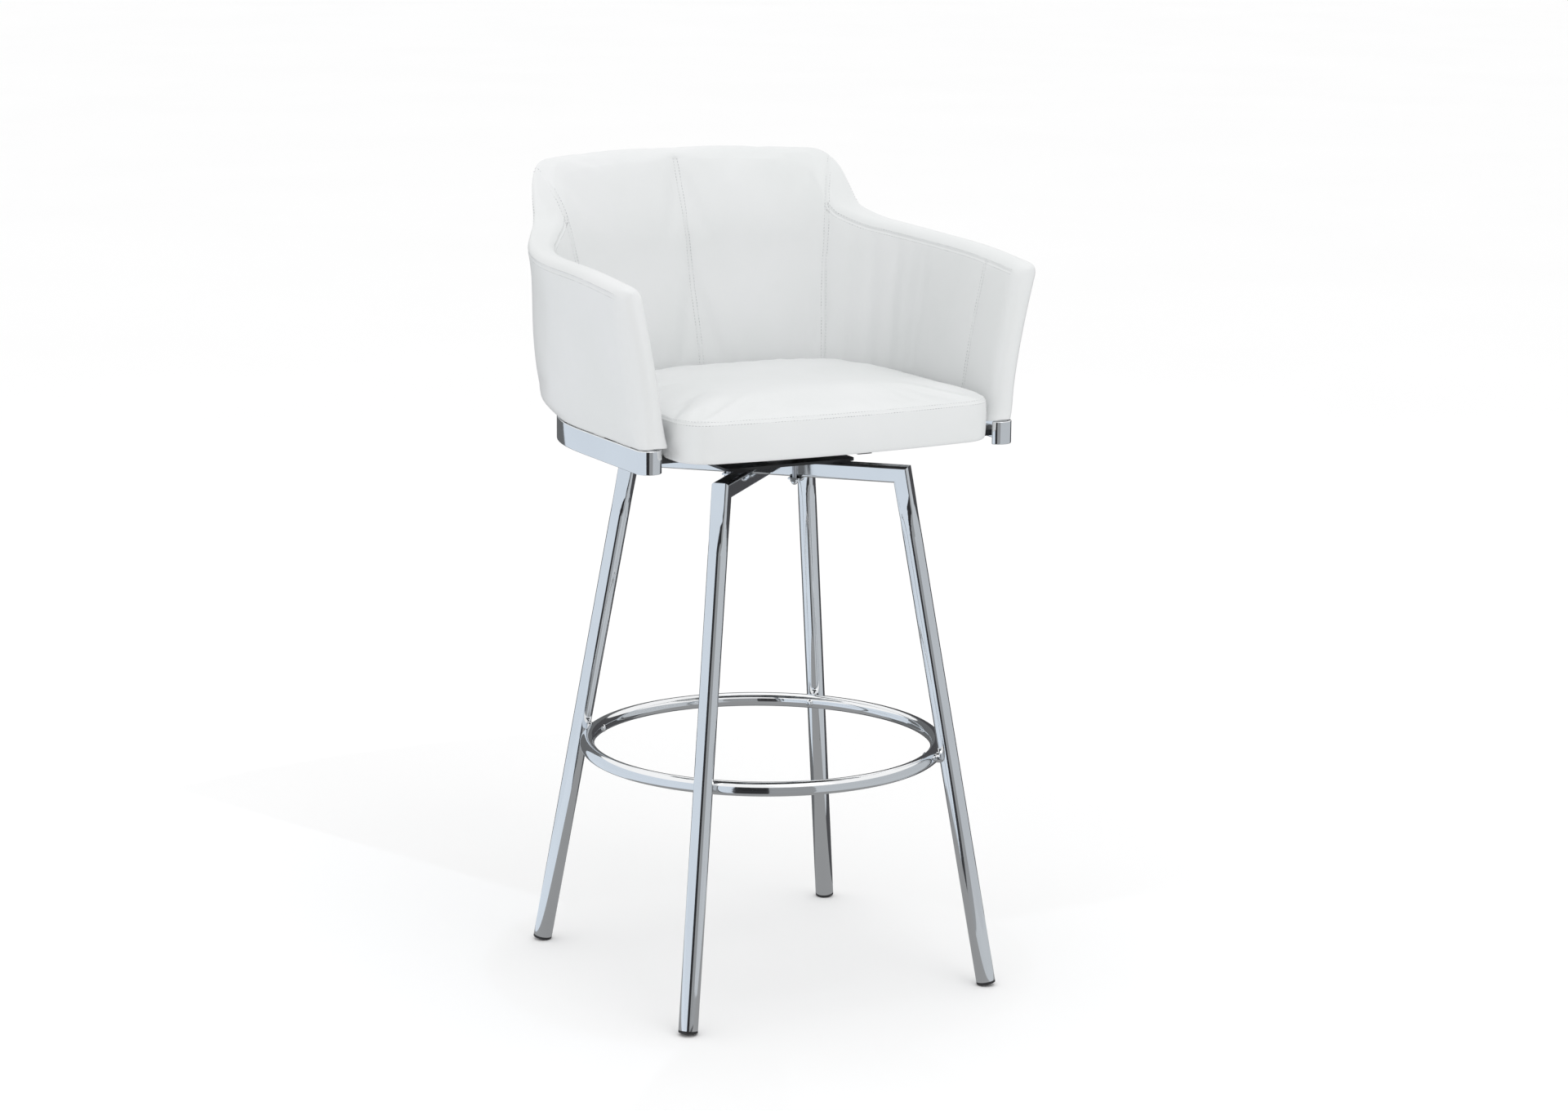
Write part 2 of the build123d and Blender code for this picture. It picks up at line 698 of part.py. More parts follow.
# ---- all nodes ------------------------------------------------------------------------------
def make_nodes():
    nodes = {}
    for name, angle in LEG_ANGLES.items():
        nodes["leg_" + name] = turned(leg(), angle)
        nodes["glide_" + name] = turned(glide(), angle)
    nodes["cross_tube_long"] = cross_tube_long()
    nodes["cross_tube_front_left"] = cross_tube_short(LEG_ANGLES["front_left"])
    nodes["cross_tube_rear_right"] = cross_tube_short(LEG_ANGLES["rear_right"])
    nodes["footrest_ring"] = footrest_ring()
    nodes["ring_bosses"] = around_ring(ring_boss())
    nodes["ring_screws"] = around_ring(ring_screw())
    nodes["rivet_nuts"] = around_ring(rivet_nut())
    nodes["clamp_strips"] = clamp_strips()
    nodes["clamp_bolts"] = clamp_bolts()
    nodes["dome_nuts"] = dome_nuts()
    nodes["swivel_lower_plate"] = swivel_lower_plate()
    nodes["lower_race"] = lower_race()
    nodes["swivel_pivot"] = swivel_pivot()
    nodes["pivot_washer"] = pivot_washer()
    nodes["swivel_balls"] = balls()
    nodes["ball_cage"] = ball_cage()
    nodes["upper_race"] = upper_race()
    nodes["swivel_upper_plate"] = swivel_upper_plate()
    nodes["rail_bolts"] = rail_bolts()
    nodes["rail_nuts"] = rail_nuts()
    nodes["seat_rail_left"] = seat_rail(-1)
    nodes["seat_rail_right"] = seat_rail(1)
    nodes["front_cross_bar"] = cross_bar(front_bar_y)
    nodes["rear_cross_bar"] = cross_bar(rear_bar_y)
    nodes["seat_bolts"] = seat_bolts()
    nodes["board_inserts"] = board_inserts()
    nodes["seat_board"] = seat_board()
    nodes["seat_cushion"] = seat_cushion()
    nodes["chrome_band"] = band()
    nodes["shell_brackets"] = shell_brackets()
    nodes["bracket_screws"] = bracket_screws()
    nodes["shell_rim"] = shell_rim()
    nodes["barrel_shell"] = shell()
    return nodes


os.makedirs("parts", exist_ok=True)
stool = make_nodes()
boxes = [part.bounding_box() for part in stool.values()]
middle_y = (min(box.min.Y for box in boxes) + max(box.max.Y for box in boxes)) / 2
print("swivel axis at y =", round(-middle_y, 4))
for node, part in stool.items():
    export_step(Pos(0, -middle_y, 0) * part, "parts/" + node + ".step")
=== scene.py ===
"""Swivel bar stool: padded barrel seat on a chrome base, finished around its packed frame."""
import functools
import json
import math

import bpy
import numpy as np
from bpy.props import FloatProperty, FloatVectorProperty, IntProperty, PointerProperty
from mathutils import Matrix, Vector
from mathutils.bvhtree import BVHTree


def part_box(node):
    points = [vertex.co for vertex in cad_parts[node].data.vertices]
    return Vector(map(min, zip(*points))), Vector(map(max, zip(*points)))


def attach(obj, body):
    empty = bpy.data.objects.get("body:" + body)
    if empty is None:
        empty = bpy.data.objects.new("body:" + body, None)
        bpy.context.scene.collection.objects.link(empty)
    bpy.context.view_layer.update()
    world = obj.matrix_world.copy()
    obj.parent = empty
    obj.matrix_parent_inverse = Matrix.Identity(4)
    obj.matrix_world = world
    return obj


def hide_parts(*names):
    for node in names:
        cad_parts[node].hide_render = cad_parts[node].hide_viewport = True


bl_info = {
    "name": "Swivel Bar Stool",
    "version": (1, 0, 0),
    "blender": (4, 5, 0),
    "location": "View3D > Sidebar > Stool",
    "description": "Upholstery, chrome and stage for a barrel-backed swivel bar stool",
    "category": "Object",
}

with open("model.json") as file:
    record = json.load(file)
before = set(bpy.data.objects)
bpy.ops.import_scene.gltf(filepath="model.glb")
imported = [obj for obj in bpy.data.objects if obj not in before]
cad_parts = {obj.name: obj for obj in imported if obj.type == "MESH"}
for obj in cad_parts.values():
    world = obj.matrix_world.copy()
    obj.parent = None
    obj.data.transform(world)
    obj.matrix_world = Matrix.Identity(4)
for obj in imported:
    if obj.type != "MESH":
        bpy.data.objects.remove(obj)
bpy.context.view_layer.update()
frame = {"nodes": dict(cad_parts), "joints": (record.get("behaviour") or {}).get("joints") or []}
MM = 0.001

# ---- places taken from the frame ------------------------------------------------
SWIVEL_Y = next(joint for joint in frame["joints"] if joint["name"] == "seat_swivel")["pos_m"][1]
BAND_LOW, BAND_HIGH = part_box("chrome_band")
CUSHION_LOW, CUSHION_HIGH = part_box("seat_cushion")
BOARD_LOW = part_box("seat_board")[0]
SHELL_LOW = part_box("barrel_shell")[0]
BAND_HALF = BAND_HIGH.x
BAND_REAR = BAND_HIGH.y - SWIVEL_Y
SIDE_STRAIGHT_Y = -20 * MM     # the sides run straight in front of this line, from the swivel axis

# Shell, at each height above the band: sides and back out from the band's outline,
# outer exponent, wall at the sides and at the back, inner exponent.
SHELL_RISES = (0.5 * MM, 18 * MM, 43 * MM, 203 * MM, 333 * MM)
SHELL_SHAPE = (
    (-2 * MM, 1 * MM, 3.5 * MM, 34 * MM, 67 * MM),
    (-1 * MM, 16 * MM, 24 * MM, 46 * MM, 94 * MM),
    (2.67, 3.70, 3.70, 2.50, 2.25),
    (40 * MM, 39 * MM, 37 * MM, 37 * MM, 42 * MM),
    (38 * MM, 55 * MM, 58 * MM, 36 * MM, 36 * MM),
    (2.50, 2.52, 2.55, 2.62, 2.70),
)
# Side view of the top edge: y from the band's back, and height above the band.
TOP_EDGE_Y = (-403 * MM, -282 * MM, -167 * MM, -77 * MM, -29 * MM, -11 * MM, 5 * MM, 29 * MM, 113 * MM)
TOP_EDGE_Z = (203 * MM, 213.5 * MM, 218 * MM, 227 * MM, 245 * MM, 272 * MM, 297 * MM, 316.5 * MM, 323.5 * MM)

CHROME_NODES = [n for n in frame["nodes"] if n.startswith(("leg_", "cross_tube"))] + [
    "footrest_ring", "ring_bosses", "ring_screws", "dome_nuts", "clamp_strips"
]
PAINTED_NODES = [
    "swivel_lower_plate", "swivel_upper_plate", "seat_rail_left", "seat_rail_right",
    "front_cross_bar", "rear_cross_bar", "shell_brackets",
]
GLIDE_NODES = [n for n in frame["nodes"] if n.startswith("glide_")]
REPLACED_NODES = ["chrome_band", "seat_cushion", "barrel_shell"]

# ---- shapes that the sizes below round off ---------------------------------------
# Points round the shell's rolled top edge, in degrees; its seam lies at one of them.
ROLL_ANGLES = (6, 12, 18, 28, 40, 53, 66, 79, 90)
SEAM_ANGLE = 12
# How far the arms' front ends round down, and up, for each unit that they round in.
FRONT_DROP, FRONT_LIFT = 0.4, 0.2
SECTION_MIDDLE = 17 * MM           # from the shell's outside to the point where its halves meet
FIRST_WALL_ROW = 6                 # point of the shell's section where its lower edge ends
FIRST_SEAM_COLUMN = 4              # station behind the front rounding, where the top seams begin
ARM_SEAM_REACH = 2 * MM            # close lines beside the arm seams, and beside the back's, in radians
BACK_SEAM_REACH = 0.008

BAND_EXPONENT = 2.67
CUSHION_EXPONENT = 2.5
CUSHION_BOW = 10 * MM              # the front edge's middle, forward of its ends
CUSHION_CORNER = 48 * MM
CUSHION_CELLS = 76                 # mesh cells along each side of the cushion
UNDER_HEM = 26 * MM                # width of the cover turned under the board
TUCK_REACH = 2.5 * MM              # cover below this height over the board's underside is tucked
TUCK_LIFT = 5 * MM

# ---- light -----------------------------------------------------------------------
WORLD_STRENGTH = 1.04
LAMP_AIM = (0.0, 0.0, 0.7)
LAMPS = (                          # name, place, size in metres, power in watts
    ("key", (0.3, -1.9, 3.5), 1.6, 13.0),
    ("over", (0.0, 0.3, 3.6), 2.0, 6.0),
)
# Glowing cards that only the chrome's reflections see, painting reflected light and dark onto it, on the floor
# and upright behind that: from and to, in degrees round from the camera's side, and glowing tone.
CARD_START = 0.37
CARD_REACH = 1.25
CARD_HEIGHT = 1.0
CARD_STEP = 6                      # degrees
UNDER_TONE = (0.30, 0.305, 0.31)   # glow of the round card between the legs, a painted darker reflection under the stool
UNDER_RISE = 2 * MM
CARDS = (
    (-132, -16, (0.68, 0.75, 0.83)),
    (-16, 4, (0.02, 0.02, 0.022)),
    (4, 30, (0.30, 0.31, 0.32)),
    (30, 120, (0.52, 0.55, 0.58)),
    (120, 176, (0.06, 0.06, 0.065)),
    (176, 228, (0.13, 0.135, 0.14)),
)


# ---- sizes and colours that a user would change ------------------------------------
def length(name, text, default, high=0.5):
    """A length that a user may change."""
    return FloatProperty(name=name, description=text, default=default, min=0.0, max=high, unit="LENGTH")


def colour(name, text, default):
    """A colour that a user may change."""
    return FloatVectorProperty(
        name=name, description=text, default=default, size=3, subtype="COLOR", min=0, max=1
    )


def turning(name, text, degrees):
    """An angle that a user may change, given in degrees."""
    return FloatProperty(name=name, description=text, default=math.radians(degrees), subtype="ANGLE")


class StoolUpholstery(bpy.types.PropertyGroup):
    """Sizes of the padded pieces."""
    corner: length("Top edge radius", "Rounding of the shell's top edges", 15 * MM)
    foot: length("Lower edge radius", "Rounding of the shell's lower edges", 1.5 * MM)
    front: length("Front radius", "Rounding of the arms' front ends", 17 * MM)
    shell_swell: length("Shell swell", "Most that the shell's panels may swell", 3 * MM)
    cushion_swell: length("Cushion swell", "Most that the cushion may swell", 7 * MM)
    welt: length("Welt height", "Cushion's underside to its welt seam", 52 * MM)
    groove: length("Seam depth", "How deep each seam is pulled in", 1.4 * MM)
    corner_seam: turning("Corner seam", "Plan angle of the back corner seams", 49.3)
    arm_seam: FloatProperty(
        name="Arm seam", description="Arm seam from the swivel axis", default=-107 * MM, unit="LENGTH"
    )


class StoolStitch(bpy.types.PropertyGroup):
    """The thread in every seam."""
    pitch: length("Pitch", "Distance from one stitch to the next", 4.2 * MM)
    long: length("Length", "Length of one stitch", 3.4 * MM)
    thick: length("Thread", "Thickness of the thread", 1.0 * MM)
    apart: length("Apart", "Each row of stitches from its seam", 3.2 * MM)
    seed: IntProperty(name="Seed", description="Varies the lie of the stitches", default=7)


class StoolBand(bpy.types.PropertyGroup):
    """The chrome band under the shell."""
    thickness: length("Thickness", "Thickness of the flat bar", 5 * MM)
    edge: length("Edge radius", "Rounding of the bar's long edges", 1.2 * MM)
    hook: length("Hook radius", "Outside radius of the front returns", 17 * MM)
    hook_sweep: turning("Hook sweep", "Angle that each return turns", 150)
    hook_y: FloatProperty(
        name="Hook centre", description="Centre of each return from the swivel axis",
        default=-168 * MM, unit="LENGTH",
    )


class StoolFinish(bpy.types.PropertyGroup):
    """Colours of the finishes."""
    leather: colour("Leather", "Main colour of the cover", (0.715, 0.725, 0.73))
    leather_deep: colour("Leather shade", "Second colour of the cover", (0.69, 0.705, 0.705))
    thread: colour("Thread", "Stitching", (0.40, 0.41, 0.42))
    chrome: colour("Chrome", "Polished plate", (0.86, 0.87, 0.88))
    paint: colour("Black paint", "Powder-coated plates and bars", (0.012, 0.012, 0.013))
    plastic: colour("Black plastic", "Glides", (0.018, 0.018, 0.019))


class StoolStage(bpy.types.PropertyGroup):
    """Camera and floor, measured from the swivel axis."""
    camera_place: FloatVectorProperty(
        name="Camera", description="Camera from the swivel axis at the floor",
        default=(-2.2121, -4.1404, 1.5524), size=3, subtype="TRANSLATION", unit="LENGTH",
    )
    heading: turning("Heading", "Camera's turn", -28.436)
    tilt: turning("Tilt", "Camera's fall", -11.957)
    roll: turning("Roll", "Camera's lean", 0.584)
    lens: FloatProperty(name="Lens", description="Focal length on a 36 mm sensor, in mm", default=83.81)
    floor: FloatProperty(name="Floor", description="Side of the floor", default=120.0, unit="LENGTH")


GROUPS = {
    "stool_upholstery": StoolUpholstery,
    "stool_stitch": StoolStitch,
    "stool_band": StoolBand,
    "stool_finish": StoolFinish,
    "stool_stage": StoolStage,
}


# ---- plan shapes -----------------------------------------------------------------------
def smooth_between(xs, ys, x):
    """Smooth curve through the points, with no overshoot between them."""
    xs, ys = np.asarray(xs, float), np.asarray(ys, float)
    steps = np.diff(ys) / np.diff(xs)
    slopes = np.zeros_like(xs)
    slopes[0], slopes[-1] = steps[0], steps[-1]
    for i in range(1, len(xs) - 1):
        if steps[i - 1] * steps[i] > 0:
            slopes[i] = 2 * steps[i - 1] * steps[i] / (steps[i - 1] + steps[i])
    x = min(max(x, xs[0]), xs[-1])
    i = int(min(np.searchsorted(xs, x, side="right") - 1, len(xs) - 2))
    gap = xs[i + 1] - xs[i]
    t = (x - xs[i]) / gap
    return (
        (2 * t**3 - 3 * t**2 + 1) * ys[i]
        + (t**3 - 2 * t**2 + t) * gap * slopes[i]
        + (3 * t**2 - 2 * t**3) * ys[i + 1]
        + (t**3 - t**2) * gap * slopes[i + 1]
    )


def barrel_point(half, rear, exponent, angle):
    """Point of a barrel outline; angle 0 is the left side and pi the right."""
    across, back = math.cos(angle), math.sin(angle)
    reach = (abs(across) ** exponent + abs(back) ** exponent) ** (-1 / exponent)
    return np.array((-half * across * reach, SIDE_STRAIGHT_Y + (rear - SIDE_STRAIGHT_Y) * back * reach))


def curve_table(xs, ys, count=600):
    """A smooth curve sampled closely, for quick reading."""
    places = np.linspace(xs[0], xs[-1], count)
    return places, np.array([smooth_between(xs, ys, x) for x in places])


SHELL_TABLES = [curve_table(SHELL_RISES, row) for row in SHELL_SHAPE]
TOP_TABLE = curve_table(TOP_EDGE_Y, TOP_EDGE_Z)


def shell_wall(station, rise):
    """Outer and inner plan points of the shell at one station and height above the band."""
    out, back, power, side_wall, back_wall, inner_power = (np.interp(rise, *table) for table in SHELL_TABLES)
    half, rear = BAND_HALF + out, BAND_REAR + back
    kind, value = station
    if kind == "back":
        outer = barrel_point(half, rear, power, value)
        inner = barrel_point(half - side_wall, rear - back_wall, inner_power, value)
        return outer, inner
    side = -1 if kind == "left" else 1
    return np.array((side * half, value)), np.array((side * (half - side_wall), value))


def shell_point(station, rise, share):
    """Plan point of the shell at a share of the wall's thickness from the outside."""
    outer, inner = shell_wall(station, rise)
    return outer + (inner - outer) * share


@functools.lru_cache(maxsize=None)
def shell_top(station, share):
    """Height above the band of the shell's top edge, at a share of the wall's thickness."""
    if station[0] != "back":
        return float(np.interp(station[1] - BAND_REAR, *TOP_TABLE))
    low, high = TOP_EDGE_Z[0] - 20 * MM, TOP_EDGE_Z[-1] + 5 * MM
    for _ in range(18):
        middle = (low + high) / 2
        y = shell_point(station, middle, share)[1] - BAND_REAR
        if np.interp(y, *TOP_TABLE) > middle:
            low = middle
        else:
            high = middle
    return (low + high) / 2


# ---- mesh helpers ------------------------------------------------------------------------
def make_piece(name, points, faces, material, smooth=True):
    """A mesh object at the origin, from points about the swivel axis."""
    mesh = bpy.data.meshes.new(name)
    points = np.asarray(points, float) + (0.0, SWIVEL_Y, 0.0)
    mesh.from_pydata(points.tolist(), [], faces)
    mesh.materials.append(material)
    mesh.shade_smooth() if smooth else mesh.shade_flat()
    mesh.validate()
    piece = bpy.data.objects.new(name, mesh)
    bpy.context.scene.collection.objects.link(piece)
    return piece


def read_points(mesh):
    """The mesh's points, one row each."""
    co = np.zeros(len(mesh.vertices) * 3)
    mesh.vertices.foreach_get("co", co)
    return co.reshape(-1, 3)


def read_normals(mesh):
    """The outward way at each of the mesh's points, one row each."""
    normals = np.zeros(len(mesh.vertices) * 3)
    mesh.vertices.foreach_get("normal", normals)
    return normals.reshape(-1, 3)


def write_points(mesh, points):
    """Moves the mesh's points to these places."""
    mesh.vertices.foreach_set("co", np.asarray(points, float).ravel())
    mesh.update()


def check_outward(piece):
    """A closed piece has a positive volume when its faces point outwards."""
    mesh = piece.data
    mesh.calc_loop_triangles()
    points = read_points(mesh)
    triangles = np.array([t.vertices[:] for t in mesh.loop_triangles])
    a, b, c = (points[triangles[:, i]] for i in range(3))
    if np.einsum("ij,ij->i", a, np.cross(b, c)).sum() < 0:
        mesh.flip_normals()


def baked(piece):
    """Turns the piece and its modifiers into a plain mesh."""
    graph = bpy.context.evaluated_depsgraph_get()
    mesh = bpy.data.meshes.new_from_object(piece.evaluated_get(graph), depsgraph=graph)
    old = piece.data
    piece.modifiers.clear()
    piece.data = mesh
    bpy.data.meshes.remove(old)
    return piece


def swell(piece, pinned, cap, frames=20):
    """Inflates a padded piece as cloth over foam, held along its seams."""
    scene = bpy.context.scene
    rest = read_points(piece.data)
    held = piece.vertex_groups.new(name="held")
    held.add([int(i) for i in pinned], 1.0, "REPLACE")
    cloth = piece.modifiers.new("cover", "CLOTH")
    settings = cloth.settings
    settings.quality = 5
    settings.mass = 0.35
    settings.tension_stiffness = 18
    settings.compression_stiffness = 18
    settings.bending_stiffness = 1.2
    settings.vertex_group_mass = "held"
    settings.use_pressure = True
    settings.uniform_pressure_force = 4.0
    settings.effector_weights.gravity = 0.0
    cloth.point_cache.frame_start = 1
    cloth.point_cache.frame_end = frames
    for number in range(1, frames + 1):
        scene.frame_set(number)
    graph = bpy.context.evaluated_depsgraph_get()
    blown = piece.evaluated_get(graph).to_mesh()
    moved = read_points(blown) - rest
    piece.evaluated_get(graph).to_mesh_clear()
    piece.modifiers.clear()
    piece.vertex_groups.clear()
    scene.frame_set(1)
    size = np.linalg.norm(moved, axis=1, keepdims=True)
    limited = cap * np.tanh(size / cap) / np.maximum(size, 1e-9)
    write_points(piece.data, rest + moved * limited)


def subdivided(piece):
    """Smooths the piece with one level of subdivision."""
    modifier = piece.modifiers.new("finish", "SUBSURF")
    modifier.levels = 1
    modifier.render_levels = 1
    return baked(piece)


# ---- node helpers ----------------------------------------------------------------------------
def add(tree, kind, settings=None, **values):
    """A node with some of its inputs set, or linked where a value is another node's socket."""
    node = tree.nodes.new(kind)
    for name, value in (settings or {}).items():
        setattr(node, name, value)
    for name, value in values.items():
        key = name.replace("_", " ")
        target = node.inputs[int(key[1:])] if key[0] == "i" and key[1:].isdigit() else node.inputs[key]
        if isinstance(value, bpy.types.NodeSocket):
            tree.links.new(value, target)
        else:
            target.default_value = value
    return node


def shader_group(name, inputs, outputs):
    """An empty shader group with its sockets, and its input and output nodes."""
    tree = bpy.data.node_groups.new(name, "ShaderNodeTree")
    for label, default in inputs:
        kind = "NodeSocketFloat" if isinstance(default, float) else "NodeSocketColor"
        tree.interface.new_socket(label, in_out="INPUT", socket_type=kind).default_value = default
    for label, kind in outputs:
        tree.interface.new_socket(label, in_out="OUTPUT", socket_type=kind)
    return tree, tree.nodes.new("NodeGroupInput"), tree.nodes.new("NodeGroupOutput")


def mottle_group():
    """Slow change between two colours, and between two roughnesses."""
    tree, entry, end = shader_group(
        "mottle",
        [("Scale", 6.0), ("Colour A", (0.5, 0.5, 0.5, 1)), ("Colour B", (0.4, 0.4, 0.4, 1)),
         ("Rough A", 0.4), ("Rough B", 0.5)],
        [("Colour", "NodeSocketColor"), ("Roughness", "NodeSocketFloat")],
    )
    place = tree.nodes.new("ShaderNodeTexCoord")
    noise = add(tree, "ShaderNodeTexNoise", Vector=place.outputs["Object"],
                Scale=entry.outputs["Scale"], Detail=4.0)
    share = add(tree, "ShaderNodeMapRange", Value=noise.outputs[0], From_Min=0.35, From_Max=0.65)
    mix = tree.nodes.new("ShaderNodeMix")
    mix.data_type = "RGBA"
    tree.links.new(share.outputs[0], mix.inputs[0])
    tree.links.new(entry.outputs["Colour A"], mix.inputs[6])
    tree.links.new(entry.outputs["Colour B"], mix.inputs[7])
    rough = add(tree, "ShaderNodeMapRange", Value=share.outputs[0],
                To_Min=entry.outputs["Rough A"], To_Max=entry.outputs["Rough B"])
    tree.links.new(mix.outputs[2], end.inputs["Colour"])
    tree.links.new(rough.outputs[0], end.inputs["Roughness"])
    return tree


def grain_group():
    """Pebbled grain: cells of one size over a finer noise, as a height."""
    tree, entry, end = shader_group(
        "grain", [("Cell", 900.0), ("Fine", 2600.0), ("Share", 0.35)], [("Height", "NodeSocketFloat")]
    )
    place = tree.nodes.new("ShaderNodeTexCoord")
    cells = add(tree, "ShaderNodeTexVoronoi", Vector=place.outputs["Object"], Scale=entry.outputs["Cell"])
    fine = add(tree, "ShaderNodeTexNoise", Vector=place.outputs["Object"],
               Scale=entry.outputs["Fine"], Detail=3.0)
    mix = add(tree, "ShaderNodeMix", i0=entry.outputs["Share"], i2=cells.outputs[0], i3=fine.outputs[0])
    tree.links.new(mix.outputs[0], end.inputs["Height"])
    return tree


def finish_material(name, first, second, rough, mottle_scale, grain, bump, metallic=0.0, coat=0.0):
    """A finish: mottled colour and roughness, with a fine grain as bump."""
    material = bpy.data.materials.new(name)
    material.use_nodes = True
    tree = material.node_tree
    shader = next(node for node in tree.nodes if node.type == "BSDF_PRINCIPLED")
    mottle = tree.nodes.new("ShaderNodeGroup")
    mottle.node_tree = bpy.data.node_groups["mottle"]
    mottle.inputs["Scale"].default_value = mottle_scale
    mottle.inputs["Colour A"].default_value = (*first, 1)
    mottle.inputs["Colour B"].default_value = (*second, 1)
    mottle.inputs["Rough A"].default_value = rough[0]
    mottle.inputs["Rough B"].default_value = rough[1]
    cells = tree.nodes.new("ShaderNodeGroup")
    cells.node_tree = bpy.data.node_groups["grain"]
    for label, value in zip(("Cell", "Fine", "Share"), grain):
        cells.inputs[label].default_value = value
    relief = add(tree, "ShaderNodeBump", Strength=bump[0], Distance=bump[1], Height=cells.outputs["Height"])
    tree.links.new(mottle.outputs["Colour"], shader.inputs["Base Color"])
    tree.links.new(mottle.outputs["Roughness"], shader.inputs["Roughness"])
    tree.links.new(relief.outputs["Normal"], shader.inputs["Normal"])
    shader.inputs["Metallic"].default_value = metallic
    shader.inputs["Coat Weight"].default_value = coat
    return material


def plywood_material(name, pale, deep):
    """Plywood: long grain on the faces and plies on the edges."""
    material = finish_material(name, pale, deep, (0.55, 0.7), 30.0, (300.0, 1400.0, 0.7), (0.2, 0.2 * MM))
    tree = material.node_tree
    shader = next(node for node in tree.nodes if node.type == "BSDF_PRINCIPLED")
    place = tree.nodes.new("ShaderNodeTexCoord")
    stretch = add(tree, "ShaderNodeMapping", Vector=place.outputs["Object"], Scale=(12.0, 160.0, 700.0))
    lines = add(tree, "ShaderNodeTexNoise", Vector=stretch.outputs[0], Scale=1.0, Detail=5.0)
    ramp = add(tree, "ShaderNodeMapRange", Value=lines.outputs[0], From_Min=0.3, From_Max=0.7)
    mix = add(tree, "ShaderNodeMix", {"data_type": "RGBA"}, i0=ramp.outputs[0], i6=(*pale, 1), i7=(*deep, 1))
    tree.links.new(mix.outputs[2], shader.inputs["Base Color"])
    return material


# ---- stitches ------------------------------------------------------------------------------------
def stitch_tree():
    """Instances along a line: each lies along it, flat on the surface, with a slight turn."""
    tree = bpy.data.node_groups.new("stitch_row", "GeometryNodeTree")
    face = tree.interface
    face.new_socket("Geometry", in_out="INPUT", socket_type="NodeSocketGeometry")
    for label in ("Pitch", "Long", "Thick"):
        face.new_socket(label, in_out="INPUT", socket_type="NodeSocketFloat")
    face.new_socket("Seed", in_out="INPUT", socket_type="NodeSocketInt")
    face.new_socket("Material", in_out="INPUT", socket_type="NodeSocketMaterial")
    face.new_socket("Geometry", in_out="OUTPUT", socket_type="NodeSocketGeometry")
    entry = tree.nodes.new("NodeGroupInput")
    end = tree.nodes.new("NodeGroupOutput")
    curve = add(tree, "GeometryNodeMeshToCurve", Mesh=entry.outputs["Geometry"])
    spaced = add(tree, "GeometryNodeResampleCurve", {"mode": "LENGTH"}, Curve=curve.outputs[0],
                 Length=entry.outputs["Pitch"])
    shape = add(tree, "GeometryNodeMeshIcoSphere", Radius=0.5, Subdivisions=1)
    sizes = add(tree, "ShaderNodeCombineXYZ", X=entry.outputs["Long"], Y=entry.outputs["Thick"],
                Z=entry.outputs["Thick"])
    thread = add(tree, "GeometryNodeTransform", Geometry=shape.outputs[0], Scale=sizes.outputs[0])
    tangent = tree.nodes.new("GeometryNodeInputTangent")
    along = tree.nodes.new("FunctionNodeAlignRotationToVector")
    along.axis = "X"
    tree.links.new(tangent.outputs[0], along.inputs["Vector"])
    lift = tree.nodes.new("GeometryNodeInputNamedAttribute")
    lift.data_type = "FLOAT_VECTOR"
    lift.inputs["Name"].default_value = "lift"
    flat = tree.nodes.new("FunctionNodeAlignRotationToVector")
    flat.axis = "Z"
    flat.pivot_axis = "X"
    tree.links.new(along.outputs[0], flat.inputs["Rotation"])
    tree.links.new(lift.outputs[0], flat.inputs["Vector"])
    turn = tree.nodes.new("FunctionNodeRandomValue")
    turn.data_type = "FLOAT_VECTOR"
    turn.inputs[0].default_value = (0.0, 0.0, -0.07)
    turn.inputs[1].default_value = (0.0, 0.0, 0.07)
    tree.links.new(entry.outputs["Seed"], turn.inputs["Seed"])
    spun = tree.nodes.new("FunctionNodeRotateRotation")
    spun.rotation_space = "LOCAL"
    tree.links.new(flat.outputs[0], spun.inputs[0])
    tree.links.new(turn.outputs[0], spun.inputs[1])
    placed = add(tree, "GeometryNodeInstanceOnPoints", Points=spaced.outputs[0], Instance=thread.outputs[0],
                 Rotation=spun.outputs[0])
    real = add(tree, "GeometryNodeRealizeInstances", Geometry=placed.outputs[0])
    done = add(tree, "GeometryNodeSetMaterial", Geometry=real.outputs[0], Material=entry.outputs["Material"])
    tree.links.new(done.outputs[0], end.inputs[0])
    return tree


def surface_of(piece):
    """The piece's surface, ready for finding its nearest points."""
    mesh = piece.data
    return BVHTree.FromPolygons([v.co for v in mesh.vertices], [p.vertices[:] for p in mesh.polygons])


def offset_row(points, aside, closed, surface, sink):
    """The seam's line moved sideways over the surface: its points and their normals."""
    points = np.asarray(points, float)
    count = len(points)
    places, normals = [], []
    for i in range(count):
        after = points[(i + 1) % count] if closed else points[min(i + 1, count - 1)]
        before = points[i - 1] if closed else points[max(i - 1, 0)]
        along = Vector(after - before).normalized()
        _, normal, _, _ = surface.find_nearest(Vector(points[i]))
        aside_way = normal.cross(along).normalized()
        hit, flat, _, _ = surface.find_nearest(Vector(points[i]) + aside_way * aside)
        places.append(hit - flat * sink)
        normals.append(flat)
    return places, normals


